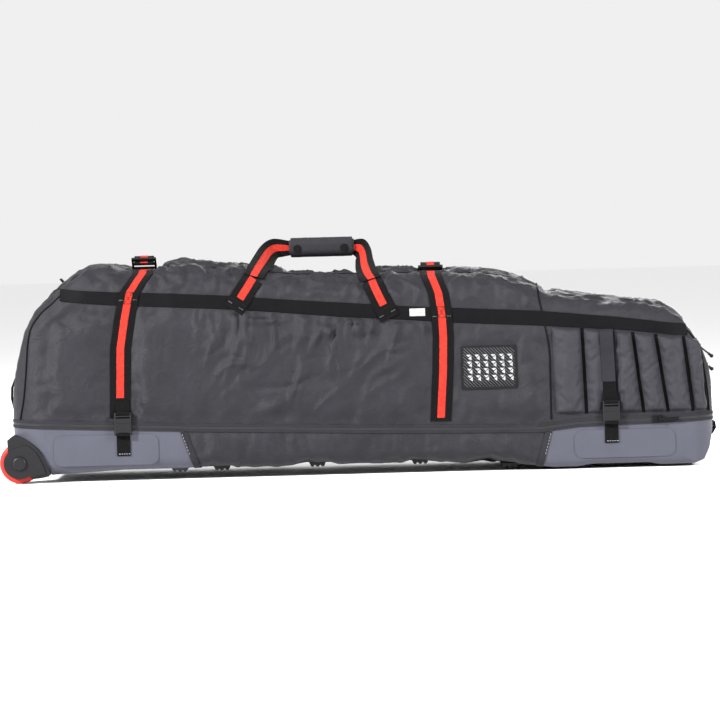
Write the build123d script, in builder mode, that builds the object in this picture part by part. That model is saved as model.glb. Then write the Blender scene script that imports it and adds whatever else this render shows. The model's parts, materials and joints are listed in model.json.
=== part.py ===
"""Wheeled travel case for long sports gear.

Two moulded shells cap the ends of a soft base. A sewn lid opens like a clamshell about the far
long edge. Two compression straps, a carry handle and two side-release buckles sit on the lid,
and a pair of skate wheels roll in housings at one bottom edge of the case.

Millimetres. +X runs from the wheel end to the head end, -Y is the near (buckle) side, +Z is up.
The origin is the centre of the footprint on the floor.
"""

import os
from math import cos, radians, sin

from build123d import *

os.makedirs("parts", exist_ok=True)

# ---------------------------------------------------------------- driving dimensions
CASE_WHEEL_END = -643  # outer face of the case at the wheel end
CASE_HEAD_END = 652  # outer face of the case at the head end
HALF_WIDTH = 165  # outer face of the sides
PLAN_RADIUS = 62  # corners of the case seen from above
CLOTH = 3  # thickness of the sewn, foam-backed walls
SHELL_WALL = 3  # thickness of the moulded end shells
WEB_WIDE = 38
WEB_NARROW = 25
WEB = 1.5  # thickness of all webbing
SKIN_GAP = 0.3  # air between a sewn-on part and what lies under it

SEAM = [(-660, 111), (-300, 95), (75, 82), (330, 77), (400, 85), (660, 91)]  # (x, z) of the zip line
COIL = 2.0  # height of each half of the zip coil, above and below the seam line
COIL_GAP = 0.2
RIM = 7.5  # height of the binding on each side of the seam line
RIM_PROUD = 2

# Top line of the lid: (x, top z, shoulder radius). It is level where a strap crosses.
LID_STATIONS = [
    (CASE_WHEEL_END, 150, 20),
    (-636, 200, 30),
    (-616, 280, 40),
    (-596, 318, 46),
    (-545, 360, 50),
    (-500, 389, 50),
    (-458, 395, 50),
    (-428, 384, 50),
    (-365, 384, 50),
    (-325, 393, 50),
    (-270, 386, 50),
    (-110, 371, 50),
    (110, 367, 50),
    (165, 367, 50),
    (250, 362, 46),
    (300, 349, 42),
    (345, 325, 36),
    (450, 306, 30),
    (560, 294, 30),
    (600, 266, 28),
    (630, 222, 26),
    (646, 180, 24),
    (CASE_HEAD_END, 140, 20),
]
# Bottom line of the base: (x, bottom z, edge radius)
BASE_STATIONS = [
    (CASE_WHEEL_END, 74, 12),
    (-626, 44, 16),
    (-600, 22, 22),
    (-572, 14, 24),
    (-436, 20, 24),
    (-330, 20, 24),
    (-219, 24, 24),
    (10, 25, 24),
    (234, 20, 24),
    (320, 8, 18),
    (352, 4, 16),
    (400, 4, 16),
    (424, 8, 16),
    (528, 8, 16),
    (552, 4, 16),
    (612, 4, 16),
    (632, 12, 14),
    (643, 32, 12),
    (649, 56, 12),
    (CASE_HEAD_END, 72, 10),
]
WHEEL_SHELL_EDGE = ((-302, 18), (-330, 100))  # slanting inner edge of the wheel-end shell, (x, z)
HEAD_SHELL_EDGE = ((327, 4), (350, 88))  # and of the head-end shell
BINDING_WIDE = 13

BODY_HEAD_SEAM = 351  # x of the seam between the body panels and the padded head
END_PANEL_WHEEL = -590  # x where the wheel-end panel meets the sides
END_PANEL_HEAD = 622
TOP_HALF = 112  # half width of the top panel
TOP_SEAMS = (-395, -270, -110, 138, 348)  # x of the seams across the top panel
TOP_SEAM_GAP = 0.3

WHEEL_X, WHEEL_Z, WHEEL_RADIUS = -629, 38, 38
WHEEL_Y = 148  # middle of each wheel
TYRE_WIDE = 24
HUB_RADIUS = 26
BEARING_RADIUS, AXLE_RADIUS, BEARING_WIDE = 11, 4, 7
RUNNING = 0.05  # radial clearance of a running fit
HOUSING_INNER, HOUSING_OUTER = 122, 172  # |y| of the housing's two faces
SLOT_HALF = 13.5  # half width of the slot the wheel turns in
SLOT_RADIUS = 41
CAP_OUTER = 180  # |y| of the domed axle cover, the widest point of the case
HOUSING_TOP = [
    (-651, 81),
    (-641, 89),
    (-631, 87.5),
    (-621, 84),
    (-611, 78),
    (-602, 70.5),
    (-594, 62),
    (-586.5, 50.5),
    (-581, 39),
    (-577, 27.5),
    (-573, 17),
]
HOUSING_LINE = [(-650, 60), *HOUSING_TOP, (-577, 12.5), (-590, 10), (-606, 8.5)]
COVER_LINE = [
    (-655, 50),
    (-647.5, 57),
    (-636, 64.5),
    (-627, 69.5),
    (-620, 71),
    (-613, 69.5),
    (-606, 65),
    (-598, 57),
    (-590.5, 44),
    (-585, 31),
    (-581, 18),
    (-606, 12),
    (-629, 20),
]
COVER_PROUD = 2.5

# Centre lines of the two compression straps seen from the side, (x, z), from the seam up
STRAP_WHEEL = [(-443, 90), (-438, 245), (-428, 304), (-419, 345), (-395, 380), (-395, 480)]
STRAP_HEAD = [(147, 90), (154, 190), (156, 250), (154, 294), (149, 330), (137, 362), (137, 480)]
STRIPE_WIDE, STRIPE = 14, 0.8

GRIP_X = (-126, -4)  # ends of the carry grip
GRIP_Z = 421
GRIP_TALL, GRIP_DEEP, GRIP_CORNER = 36, 34, 15
GRIP_WALL = 3.5
FLAP_Y = -9  # the snap flap is the part of the grip's sleeve nearer than this

BUCKLES = {"wheel": (-437, 107), "head": (461, 105)}  # (x, z) of the mouth of each buckle
BUCKLE_BACK, BUCKLE_FRONT = 169.2, 177.2  # |y| of the buckle's two faces
BUCKLE_WIDE = 32
SOCKET_TALL = 22
PLUG_TALL = 19

LOCKS = {"wheel": (-395, 35), "head": (137, 12)}  # x and rest tilt of each ladder lock
LOCK_Y = -60  # y of the bar a ladder lock turns on
LOCK_PIN = 2.5
LOCK_LONG, LOCK_WIDE, LOCK_THICK = 34, 46, 3.6

SLIDER_X = 546  # rest position of the zip slider
PULL_LONG = 34
END_PULLS = {"upper": (640, 216, 30.5, -40), "lower": (653, 180, 13, -38)}  # x, z, reach, fall in degrees


# ---------------------------------------------------------------- shared shapes
def save(shape, name):
    """Labels a finished piece and writes it as its own STEP file."""
    shape.label = name
    export_step(shape, f"parts/{name}.step")


def along(points, x):
    """Reads the second value of a polyline of (x, value, ...) rows at x."""
    for first, second in zip(points, points[1:]):
        if x <= second[0]:
            share = (x - first[0]) / (second[0] - first[0])
            return first[1] + (second[1] - first[1]) * share
    return points[-1][1]


def side_prism(points, low_y=-300, high_y=300):
    """A polygon drawn in the XZ plane, filled from low_y to high_y."""
    with BuildPart() as prism:
        with BuildSketch(Plane.XZ.offset(-high_y)):
            with BuildLine():
                Polyline(*points, close=True)
            make_face()
        extrude(amount=high_y - low_y)
    return prism.part


def seam_band(low, high):
    """Everything between two lines that run low and high above the seam."""
    lower = [(x, z + low) for x, z in SEAM]
    upper = [(x, z + high) for x, z in reversed(SEAM)]
    return side_prism(lower + upper)


def plan_prism(inset, floor=-20, tall=500):
    """The case's outline seen from above, drawn in by inset."""
    centre = (CASE_HEAD_END + CASE_WHEEL_END) / 2
    length = CASE_HEAD_END - CASE_WHEEL_END - 2 * inset
    with BuildPart() as prism:
        with BuildSketch(Plane.XY.offset(floor)):
            with Locations((centre, 0)):
                RectangleRounded(length, 2 * (HALF_WIDTH - inset), PLAN_RADIUS - inset)
        extrude(amount=tall)
    return prism.part


def station_block(stations, inset, flat, first=None, last=None):
    """A solid lofted through the stations; flat is the z of its plain side, the other side is rounded."""
    prism = plan_prism(inset)
    with BuildPart() as block:
        for x, edge, radius in stations:
            if (first is not None and x < first) or (last is not None and x > last):
                continue
            if x in (CASE_WHEEL_END, CASE_HEAD_END):
                x -= inset if x > 0 else -inset
            elif not CASE_WHEEL_END + inset + 2 < x < CASE_HEAD_END - inset - 2:
                continue
            edge += inset if edge < flat else -inset
            with BuildSketch(Plane.YZ.offset(x)) as section:
                with Locations((0, (flat + edge) / 2)):
                    Rectangle(2 * (HALF_WIDTH - inset), abs(edge - flat))
                corners = section.vertices().group_by(Axis.Z)
                fillet(corners[-1] if edge > flat else corners[0], max(radius - inset, 4))
        loft(ruled=True)
        add(prism, mode=Mode.INTERSECT)
    return block.part


def wrapped(points, lift, thick, low_y=-300, high_y=300, first=None, last=None):
    """Cloth cut to a side-view outline and laid over the lid, lift above it."""
    outline = side_prism(points, low_y, high_y)
    over = station_block(LID_STATIONS, -lift - thick, 40, first, last)
    under = station_block(LID_STATIONS, -lift, 40, first, last)
    with BuildPart() as cloth:
        add(over)
        add(outline, mode=Mode.INTERSECT)
        add(under, mode=Mode.SUBTRACT)
    return cloth.part


def ribbon(points, wide, thick, across):
    """Webbing through 3-D points; across holds the direction of its width, one for all or one for each."""
    points = [Vector(*point) for point in points]
    ways = across if isinstance(across, list) else [across] * len(points)
    with BuildPart() as band:
        for i, point in enumerate(points):
            before = points[max(i - 1, 0)]
            after = points[min(i + 1, len(points) - 1)]
            way = (after - before).normalized()
            with BuildSketch(Plane(origin=point, x_dir=ways[i], z_dir=way)):
                Rectangle(wide, thick)
        loft(ruled=True)
    return band.part


def tab(points, wide, thick):
    """Webbing bent through (x, z) points in the middle plane, wide across the case."""
    points = [Vector(x, z) for x, z in points]
    left, right = [], []
    for i, point in enumerate(points):
        way = (points[min(i + 1, len(points) - 1)] - points[max(i - 1, 0)]).normalized()
        side = Vector(-way.Y, way.X) * (thick / 2)
        left.append(tuple(point + side)[:2])
        right.append(tuple(point - side)[:2])
    return side_prism(left + right[::-1], -wide / 2, wide / 2)


def near_and_far(shape):
    """A near-side shape together with its mirror image on the far side."""
    with BuildPart() as pair:
        add(shape)
        mirror(shape, about=Plane.XZ)
    return pair.part


# ---------------------------------------------------------------- lid
def make_lid_panels():
    """Seven sewn panels: the two ends, the sides of body and head, and the top."""
    outer = station_block(LID_STATIONS, 0, 40)
    inner = station_block(LID_STATIONS, CLOTH, 40)
    above = seam_band(COIL + COIL_GAP, 500)
    with BuildPart() as hollow:
        add(outer)
        add(inner, mode=Mode.SUBTRACT)
        add(above, mode=Mode.INTERSECT)
    cuts = {
        "lid_wheel_end_panel": (-900, END_PANEL_WHEEL, -400, 400),
        "lid_head_end_panel": (END_PANEL_HEAD, 900, -400, 400),
        "lid_top_panel": (END_PANEL_WHEEL, END_PANEL_HEAD, -TOP_HALF, TOP_HALF),
        "lid_side_near": (END_PANEL_WHEEL, BODY_HEAD_SEAM, -400, -TOP_HALF),
        "lid_side_far": (END_PANEL_WHEEL, BODY_HEAD_SEAM, TOP_HALF, 400),
        "head_side_near": (BODY_HEAD_SEAM, END_PANEL_HEAD, -400, -TOP_HALF),
        "head_side_far": (BODY_HEAD_SEAM, END_PANEL_HEAD, TOP_HALF, 400),
    }
    for name, (x0, x1, y0, y1) in cuts.items():
        with BuildPart() as panel:
            add(hollow.part)
            with Locations(((x0 + x1) / 2, (y0 + y1) / 2, 250)):
                Box(x1 - x0, y1 - y0, 500, mode=Mode.INTERSECT)
            if name == "lid_top_panel":
                with Locations([(x, 0, 300) for x in TOP_SEAMS]):
                    Box(TOP_SEAM_GAP, 400, 300, mode=Mode.SUBTRACT)
        save(panel.part, name)


def make_head_foam():
    """Closed-cell foam that lines the head, where the gear's fragile end lies."""
    outer = station_block(LID_STATIONS, CLOTH + 0.8, 40, first=300)
    inner = station_block(LID_STATIONS, CLOTH + 9, 40, first=300)
    above = seam_band(8, 500)
    with BuildPart() as foam:
        add(outer)
        add(inner, mode=Mode.SUBTRACT)
        add(above, mode=Mode.INTERSECT)
        with Locations(((BODY_HEAD_SEAM + CASE_HEAD_END) / 2, 0, 250)):
            Box(CASE_HEAD_END - BODY_HEAD_SEAM, 400, 500, mode=Mode.INTERSECT)
    save(foam.part, "head_foam")


RIB_TOPS = [353, 411, 460, 504, 546, 597, 628]  # x of the ribs' edges along their top
RIB_FEET = [357, 416, 472, 521, 566, 612, 640]  # and along their bottom
RIB_TOP_Z, RIB_FOOT_Z = (258, 224), 103
RIB_PROUD = 6.5
RIB_GAP = 4
BUCKLE_ROOM = [(441, 90), (481, 90), (481, 134), (441, 134)]  # left free of ribs behind the head buckle


def make_rib_pads():
    """Six foam-filled channels on each side of the head, cut short behind the buckle."""
    room = side_prism(BUCKLE_ROOM)
    over = station_block(LID_STATIONS, -SKIN_GAP - RIB_PROUD, 40, first=300)
    under = station_block(LID_STATIONS, -SKIN_GAP, 40, first=300)
    prisms = []
    for i in range(len(RIB_TOPS) - 1):
        share = [j / (len(RIB_TOPS) - 1) for j in (i, i + 1)]
        top = [RIB_TOP_Z[0] + (RIB_TOP_Z[1] - RIB_TOP_Z[0]) * s for s in share]
        x = (RIB_TOPS[i] + RIB_GAP, RIB_TOPS[i + 1] - RIB_GAP)
        foot = (RIB_FEET[i] + RIB_GAP, RIB_FEET[i + 1] - RIB_GAP)
        outline = [(foot[0], RIB_FOOT_Z), (foot[1], RIB_FOOT_Z), (x[1], top[1]), (x[0], top[0])]
        prisms.append(side_prism(outline, -300, -60))
    with BuildPart() as ribs:
        add(prisms)
        add(over, mode=Mode.INTERSECT)
        add(under, mode=Mode.SUBTRACT)
        add(room, mode=Mode.SUBTRACT)
    save(near_and_far(ribs.part), "rib_pads")


def strap_outline(line, wide, foot):
    """Side view of a strap along its centre line, from height foot to over the top."""
    half = wide / 2
    upper = [(x, z) for x, z in line if z > foot]
    start = along([(z, x) for x, z in line], foot)
    centres = [(start, foot), *upper]
    return [(x - half, z) for x, z in centres] + [(x + half, z) for x, z in reversed(centres)]


def make_straps():
    """The two compression straps: a black webbing, a stripe sewn along it and a loop for the lock."""
    stripes = []
    for name, line, foot, stripe_foot, reach in (
        ("wheel", STRAP_WHEEL, 132, 152, (-500, -325)),
        ("head", STRAP_HEAD, 94, 94, (100, 300)),
    ):
        web = wrapped(strap_outline(line, WEB_WIDE, foot), SKIN_GAP, WEB, -300, 300, *reach)
        stripe_outline = strap_outline(line, STRIPE_WIDE, stripe_foot)
        stripe = wrapped(stripe_outline, SKIN_GAP + WEB, STRIPE, -300, 300, *reach)
        x = line[-1][0]
        z = lock_bar_height(x)
        with BuildPart() as strap:
            add(web)
            with BuildSketch(Plane.YZ.offset(x - 18.6)):
                with Locations((LOCK_Y, z)):
                    Circle(LOCK_PIN + 1.6)
                    Circle(LOCK_PIN + RUNNING, mode=Mode.SUBTRACT)
            extrude(amount=37.2)
        save(strap.part, f"strap_{name}_end")
        stripes.append(stripe)
    with BuildPart() as both:
        for stripe in stripes:
            add(stripe)
    save(both.part, "strap_stripes")


def lock_bar_height(x):
    """Height of the bar a ladder lock turns on, just clear of the strap's stripe."""
    return along(LID_STATIONS, x) + SKIN_GAP + WEB + STRIPE + SKIN_GAP + LOCK_PIN + 1.6


def make_ladder_locks():
    """The two ladder locks that tension the straps, each tilted up about its rear bar."""
    for name, (x, tilt) in LOCKS.items():
        turn = radians(tilt)
        frame = Plane(
            origin=(x, LOCK_Y, lock_bar_height(x)),
            x_dir=(1, 0, 0),
            z_dir=(0, sin(turn), cos(turn)),
        )
        with BuildPart() as lock:
            with BuildSketch(frame.offset(-LOCK_THICK / 2)):
                with Locations((0, -LOCK_LONG / 2 + 2.5)):
                    RectangleRounded(LOCK_WIDE, LOCK_LONG, 2.4)
                with Locations((0, -6.6), (0, -19.4)):
                    Rectangle(38.2, 7.6 if tilt else 7, mode=Mode.SUBTRACT)
                Rectangle(38.2, 6, mode=Mode.SUBTRACT)
            extrude(amount=LOCK_THICK)
            with BuildSketch(Plane.YZ.offset(x - 20.4)):
                with Locations((LOCK_Y, lock_bar_height(x))):
                    Circle(LOCK_PIN)
            extrude(amount=40.8)
        save(lock.part, f"ladder_lock_{name}_end")


BAND_TOP = [(-546, 355), (-446, 348), (-344, 343), (-234, 336), (-153, 328), (-30, 318)]
BAND_TOP += [(92, 308), (172, 303), (335, 293), (480, 278), (604, 261)]
BAND_FOOT = [(-546, 333), (-446, 324), (-344, 318), (-234, 311), (-153, 304), (-30, 292)]
BAND_FOOT += [(92, 283), (172, 276), (335, 266), (480, 255), (604, 240)]


def make_side_bands():
    """The webbing band sewn along both sides just under the shoulder."""
    outline = BAND_TOP + BAND_FOOT[::-1]
    band = wrapped(outline, SKIN_GAP, WEB * 0.9)
    straps = []
    for line in (STRAP_WHEEL, STRAP_HEAD):
        straps.append(side_prism(strap_outline(line, WEB_WIDE + 0.6, 200)))
    with BuildPart() as bands:
        add(band)
        add(straps, mode=Mode.SUBTRACT)
        with Locations((0, 0, 300)):
            Box(1400, 2 * 100, 400, mode=Mode.SUBTRACT)
    save(bands.part, "side_bands")


LEG_LIFT = SKIN_GAP + WEB + SKIN_GAP
LEG_LEFT = [
    (-190, -151.2, 370),
    (-184, -136, 381),
    (-175, -92, 396),
    (-164, -40, 413),
    (-150, -12, 421),
    (-129.5, -7, 420),
]
LEG_RIGHT = [
    (27, -151.2, 359.4),
    (20, -136, 370),
    (15, -92, 386),
    (13, -40, 404),
    (8, -12, 416),
    (-0.5, -7, 419),
]
LEG_TURN = [(1, -0.3, -0.3), (1, -0.25, -0.35), (0.9, 0, -0.5), (0.75, 0, -0.65), (0.4, 0, -0.9), (0, 0, -1)]


def make_handle_webbing():
    """The webbing of the carry handle: four sewn feet, and four free legs up to the grip."""
    left = [(-248, 310), (-210, 310), (-173, 361), (-209, 371)]
    right = [(40, 287), (78, 287), (45, 360.5), (9, 350)]
    feet = []
    for outline, reach in ((left, (-325, -110)), (right, (-110, 110))):
        feet.append(wrapped(outline, LEG_LIFT, WEB, -300, -100, *reach))
    with BuildPart() as tails:
        for foot in feet:
            add(foot)
    save(near_and_far(tails.part), "handle_tails")
    turn_back = [(x, -y, -z) for x, y, z in LEG_TURN]
    legs = [ribbon(LEG_LEFT, WEB_WIDE, WEB, LEG_TURN), ribbon(LEG_RIGHT, WEB_WIDE, WEB, turn_back)]
    with BuildPart() as free:
        for leg in legs:
            add(leg)
    save(near_and_far(free.part), "handle_legs")


def side_plate(name, x, z, lift, thick, corner):
    """A flat sewn patch on the near side between two x and two z values."""
    with BuildPart() as plate:
        with BuildSketch(Plane.XZ.offset(HALF_WIDTH + lift)):
            with Locations(((x[0] + x[1]) / 2, (z[0] + z[1]) / 2)):
                RectangleRounded(x[1] - x[0], z[1] - z[0], corner)
        extrude(amount=thick)
    save(plate.part, name)


def make_lid_trim():
    """Patch, blank label, tabs and the end posts of the head's own zip."""
    side_plate("vent_patch", (187, 291), (151, 232), SKIN_GAP, 1.4, 4)
    side_plate("blank_label", (95, 124), (289, 304), SKIN_GAP + WEB + SKIN_GAP, 0.6, 1)
    grab = [(-638.4, 199), (-647, 189), (-654, 172), (-655, 152), (-651, 134), (-644.6, 124)]
    corner = [(-546, 359.4), (-550, 366), (-557, 374)]
    pieces = [tab(grab, WEB_NARROW, WEB * 1.6), tab(corner, 30, WEB * 2)]
    with BuildPart() as tabs:
        for piece in pieces:
            add(piece)
    save(tabs.part, "webbing_tabs")
    with BuildPart() as posts:
        for x, z, _, _ in END_PULLS.values():
            for y in (-4.6, 4.6):
                with Locations((x - 1.4, y, z)):
                    Box(8.8, 2.6, 8)
            with BuildSketch(Plane.XZ.offset(-6)):
                with Locations((x, z)):
                    Circle(1.2)
            extrude(amount=12)
    save(posts.part, "end_zip_sliders")


def make_end_pulls():
    """The two moulded pulls that hang from the head's zip sliders."""
    for name, (x, z, reach, fall) in END_PULLS.items():
        turn = radians(fall)
        way = Vector(cos(turn), 0, sin(turn))
        eye = Vector(x, 0, z)
        with BuildPart() as pull:
            with BuildSketch(Plane.XZ.offset(-2.4)):
                with Locations((x, z)):
                    Circle(3)
            extrude(amount=4.8)
            with BuildSketch(Plane(origin=eye, z_dir=way)):
                Circle(1.6)
            extrude(amount=reach)
            with BuildSketch(Plane(origin=eye + way * (reach - 8), z_dir=way)):
                Circle(2.6)
            extrude(amount=8)
            with Locations(eye + way * reach):
                Sphere(3.6)
            with BuildSketch(Plane.XZ.offset(-5)):
                with Locations((x, z)):
                    Circle(1.2 + RUNNING)
            extrude(amount=10, mode=Mode.SUBTRACT)
        save(pull.part, f"end_pull_{name}")


def make_rims():
    """Binding and zip coil, one ring on the base and one on the lid."""
    outside = plan_prism(-RIM_PROUD)
    under = plan_prism(-0.001)
    coil_out = plan_prism(-1.4)
    coil_in = plan_prism(1.6)
    bands = {
        "upper": (seam_band(COIL + COIL_GAP, RIM), seam_band(COIL_GAP, COIL)),
        "lower": (seam_band(-RIM, -COIL - COIL_GAP), seam_band(-COIL, -COIL_GAP)),
    }
    for name, (binding, teeth) in bands.items():
        with BuildPart() as rim:
            add(binding)
            add(outside, mode=Mode.INTERSECT)
            add(under, mode=Mode.SUBTRACT)
        save(rim.part, f"rim_{name}")
        with BuildPart() as coil:
            add(teeth)
            add(coil_out, mode=Mode.INTERSECT)
            add(coil_in, mode=Mode.SUBTRACT)
        save(coil.part, f"zip_coil_{name}")


# ---------------------------------------------------------------- base
def make_base():
    """The two moulded shells and the soft trough between them, cut from one hollow form."""
    outer = station_block(BASE_STATIONS, 0, 160)
    inner = station_block(BASE_STATIONS, SHELL_WALL, 160)
    below = seam_band(-500, -COIL - COIL_GAP)
    (wx0, wz0), (wx1, wz1) = WHEEL_SHELL_EDGE
    (hx0, hz0), (hx1, hz1) = HEAD_SHELL_EDGE
    wheel_side = side_prism([(-800, -50), (wx0 + 23, -50), (wx0, wz0), (wx1, wz1), (wx1 - 13, 140), (-800, 140)])
    head_side = side_prism([(800, -50), (hx0 - 15, -50), (hx0, hz0), (hx1, hz1), (hx1 + 14, 140), (800, 140)])
    pockets = []
    for low, high in ((-300, -HOUSING_INNER), (HOUSING_INNER, 300)):
        line = [(-760, -60), (HOUSING_TOP[-1][0], -60), *HOUSING_TOP[::-1], (-760, HOUSING_TOP[0][1])]
        pockets.append(side_prism(line, low, high))
    wheel_panels = raised_panels((-566, -373), (30, 86))
    head_panels = raised_panels((392, 578), (20, 71))
    with BuildPart() as hollow:
        add(outer)
        add(inner, mode=Mode.SUBTRACT)
        add(below, mode=Mode.INTERSECT)
    with BuildPart() as wheel_shell:
        add(hollow.part)
        add(wheel_side, mode=Mode.INTERSECT)
        add(pockets, mode=Mode.SUBTRACT)
        add(wheel_panels)
        add(side_prism(skid_teeth(-338, 21, 11), -105, 105))
    with BuildPart() as head_shell:
        add(hollow.part)
        add(head_side, mode=Mode.INTERSECT)
        add(head_panels)
        with Locations((579, 0, 4.5)):
            Box(66, 230, 9)
    with BuildPart() as trough:
        add(hollow.part)
        add([wheel_side, head_side], mode=Mode.SUBTRACT)
    save(wheel_shell.part, "wheel_end_shell")
    save(head_shell.part, "head_end_shell")
    save(trough.part, "base_fabric")


def skid_teeth(x, top, foot):
    """Side view of a skid bar with three blunt teeth."""
    teeth = [(x - 16, top)]
    for middle in (x - 10, x, x + 10):
        teeth += [(middle - 1.5, foot), (middle + 1.5, foot), (middle + 5, foot + 3.5)]
    return teeth[:-1] + [(x + 16, top)]


def raised_panels(x, z):
    """Raised rounded panels for both sides of a shell."""
    with BuildPart() as panels:
        with BuildSketch(Plane.XZ.offset(HALF_WIDTH - 1)):
            with Locations(((x[0] + x[1]) / 2, (z[0] + z[1]) / 2)):
                RectangleRounded(x[1] - x[0], z[1] - z[0], 16)
        extrude(amount=2.4)
        mirror(about=Plane.XZ)
    return panels.part


def make_base_trim():
    """Slanted bindings, skid bars, stiffening board, pads, tie-downs and the head grab loop."""
    strips = []
    for (x0, z0), (x1, z1) in (WHEEL_SHELL_EDGE, HEAD_SHELL_EDGE):
        lean = (x1 - x0) / (z1 - z0)
        high_z = along(SEAM, x1) - RIM - 1.5
        low = (x0 - lean * z0, 0)
        high = (x0 + lean * (high_z - z0), high_z)
        half = BINDING_WIDE / 2
        points = [(low[0] - half, 0), (low[0] + half, 0), (high[0] + half, high_z), (high[0] - half, high_z)]
        strips.append(side_prism(points))
    with BuildPart() as both:
        add(station_block(BASE_STATIONS, -1.6, 160))
        add(station_block(BASE_STATIONS, -SKIN_GAP, 160), mode=Mode.SUBTRACT)
        add(strips, mode=Mode.INTERSECT)
    save(both.part, "shell_bindings")

    bars = []
    for x, foot in ((-259, 13), (-82, 15), (108, 15), (274, 4)):
        top = min(along(BASE_STATIONS, x - 15), along(BASE_STATIONS, x + 15)) - 0.4
        bars.append(side_prism(skid_teeth(x, top, foot), -125, 125))
    with BuildPart() as skids:
        for bar in bars:
            add(bar)
    save(skids.part, "skid_bars")

    with BuildPart() as board:
        with BuildSketch(Plane.XY.offset(28.6)):
            with Locations((-50, 0)):
                RectangleRounded(760, 268, 20)
        extrude(amount=3)
    save(board.part, "base_board")

    with BuildPart() as pad:
        with BuildSketch(Plane.XY.offset(12)):
            with Locations((531, 0)):
                RectangleRounded(150, 250, 20)
        extrude(amount=12)
    save(pad.part, "head_floor_pad")

    with BuildPart() as ties:
        for x in (-330, 120):
            with Locations((x, 0, 32.8)):
                Box(WEB_WIDE, 262, WEB)
            with Locations((x, 48, 35.2)):
                Box(WEB_WIDE + 8, 26, 2.6)
    save(ties.part, "tie_down_straps")

    loop = [(648.6, 50), (657, 53), (663.5, 64), (662, 75), (653.6, 80)]
    save(tab(loop, 92, WEB * 1.6), "head_grab_loop")


# ---------------------------------------------------------------- wheels
def make_housings():
    """Moulded housings that carry the wheels at the two lower corners of the wheel end."""
    outline = side_prism(HOUSING_LINE, -HOUSING_OUTER, -HOUSING_INNER)
    cover = side_prism(COVER_LINE, -HOUSING_OUTER - COVER_PROUD, -HOUSING_OUTER)
    with BuildPart() as housing:
        add(outline)
        add(cover)
        with BuildSketch(Plane.XZ.offset(HOUSING_INNER)):
            with Locations((WHEEL_X, WHEEL_Z)):
                Circle(29)
        extrude(amount=HOUSING_OUTER + COVER_PROUD - HOUSING_INNER)
        with BuildSketch(Plane.XZ.offset(WHEEL_Y - SLOT_HALF)):
            with Locations((WHEEL_X, WHEEL_Z)):
                Circle(SLOT_RADIUS)
        extrude(amount=2 * SLOT_HALF, mode=Mode.SUBTRACT)
        with BuildSketch(Plane.XZ.offset(HOUSING_INNER + 3)):
            with Locations((WHEEL_X, WHEEL_Z)):
                Circle(AXLE_RADIUS)
        extrude(amount=60, mode=Mode.SUBTRACT)
    save(near_and_far(housing.part), "wheel_housings")


def make_axles():
    """Axle bolts with a domed cover outside and two collars that keep the wheel centred."""
    collar_out = WHEEL_Y + TYRE_WIDE / 2 - 1.4
    collar_in = WHEEL_Y - TYRE_WIDE / 2 + 1.4
    with BuildPart() as axle:
        with BuildSketch(Plane.XZ.offset(HOUSING_INNER + 3)):
            with Locations((WHEEL_X, WHEEL_Z)):
                Circle(AXLE_RADIUS)
        extrude(amount=HOUSING_OUTER + COVER_PROUD - HOUSING_INNER - 3)
        for low, high in ((WHEEL_Y - SLOT_HALF, collar_in - 0.2), (collar_out + 0.2, WHEEL_Y + SLOT_HALF)):
            with BuildSketch(Plane.XZ.offset(low)):
                with Locations((WHEEL_X, WHEEL_Z)):
                    Circle(6.5)
            extrude(amount=high - low)
        with BuildSketch(Plane.XZ.offset(HOUSING_OUTER + COVER_PROUD)):
            with Locations((WHEEL_X, WHEEL_Z)):
                Circle(13.5)
        extrude(amount=CAP_OUTER - HOUSING_OUTER - COVER_PROUD)
        fillet(axle.faces().sort_by(Axis.Y)[0].edges(), 5)
    save(near_and_far(axle.part), "axles")


def make_wheels():
    """Skate wheels: a soft tyre on a spoked hub that turns on two ball bearings and a spacer."""
    half = TYRE_WIDE / 2
    centre = Plane.XZ.offset(WHEEL_Y - half)
    with BuildPart() as tyre:
        with BuildSketch(centre):
            with Locations((WHEEL_X, WHEEL_Z)):
                Circle(WHEEL_RADIUS)
                Circle(HUB_RADIUS, mode=Mode.SUBTRACT)
        extrude(amount=TYRE_WIDE)
        rims = tyre.edges().filter_by(GeomType.CIRCLE).group_by(SortBy.RADIUS)[-1]
        fillet(rims, 6)
    seats = ((half - BEARING_WIDE - 1.4, BEARING_WIDE), (-half + 1.4, BEARING_WIDE))
    with BuildPart() as hub:
        with BuildSketch(centre.offset(0.6)):
            with Locations((WHEEL_X, WHEEL_Z)):
                Circle(HUB_RADIUS)
                Circle(AXLE_RADIUS + 3, mode=Mode.SUBTRACT)
                with PolarLocations(18, 6):
                    Circle(4, mode=Mode.SUBTRACT)
        extrude(amount=TYRE_WIDE - 1.2)
        for low, wide in ((-half, BEARING_WIDE + 1.4), (half - BEARING_WIDE - 1.4, BEARING_WIDE + 1.4)):
            with BuildSketch(Plane.XZ.offset(WHEEL_Y + low)):
                with Locations((WHEEL_X, WHEEL_Z)):
                    Circle(BEARING_RADIUS)
            extrude(amount=wide, mode=Mode.SUBTRACT)
    with BuildPart() as bearings:
        for low, wide in seats:
            with BuildSketch(Plane.XZ.offset(WHEEL_Y + low)):
                with Locations((WHEEL_X, WHEEL_Z)):
                    Circle(BEARING_RADIUS)
                    Circle(AXLE_RADIUS + RUNNING, mode=Mode.SUBTRACT)
            extrude(amount=wide)
        with BuildSketch(Plane.XZ.offset(WHEEL_Y - half + 1.4 + BEARING_WIDE)):
            with Locations((WHEEL_X, WHEEL_Z)):
                Circle(AXLE_RADIUS + 2)
                Circle(AXLE_RADIUS + RUNNING, mode=Mode.SUBTRACT)
        extrude(amount=TYRE_WIDE - 2 * (1.4 + BEARING_WIDE))
    for shape, name in ((tyre.part, "tyre"), (hub.part, "hub"), (bearings.part, "bearings")):
        save(shape, f"{name}_near")
        save(mirror(shape, about=Plane.XZ), f"{name}_far")


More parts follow.
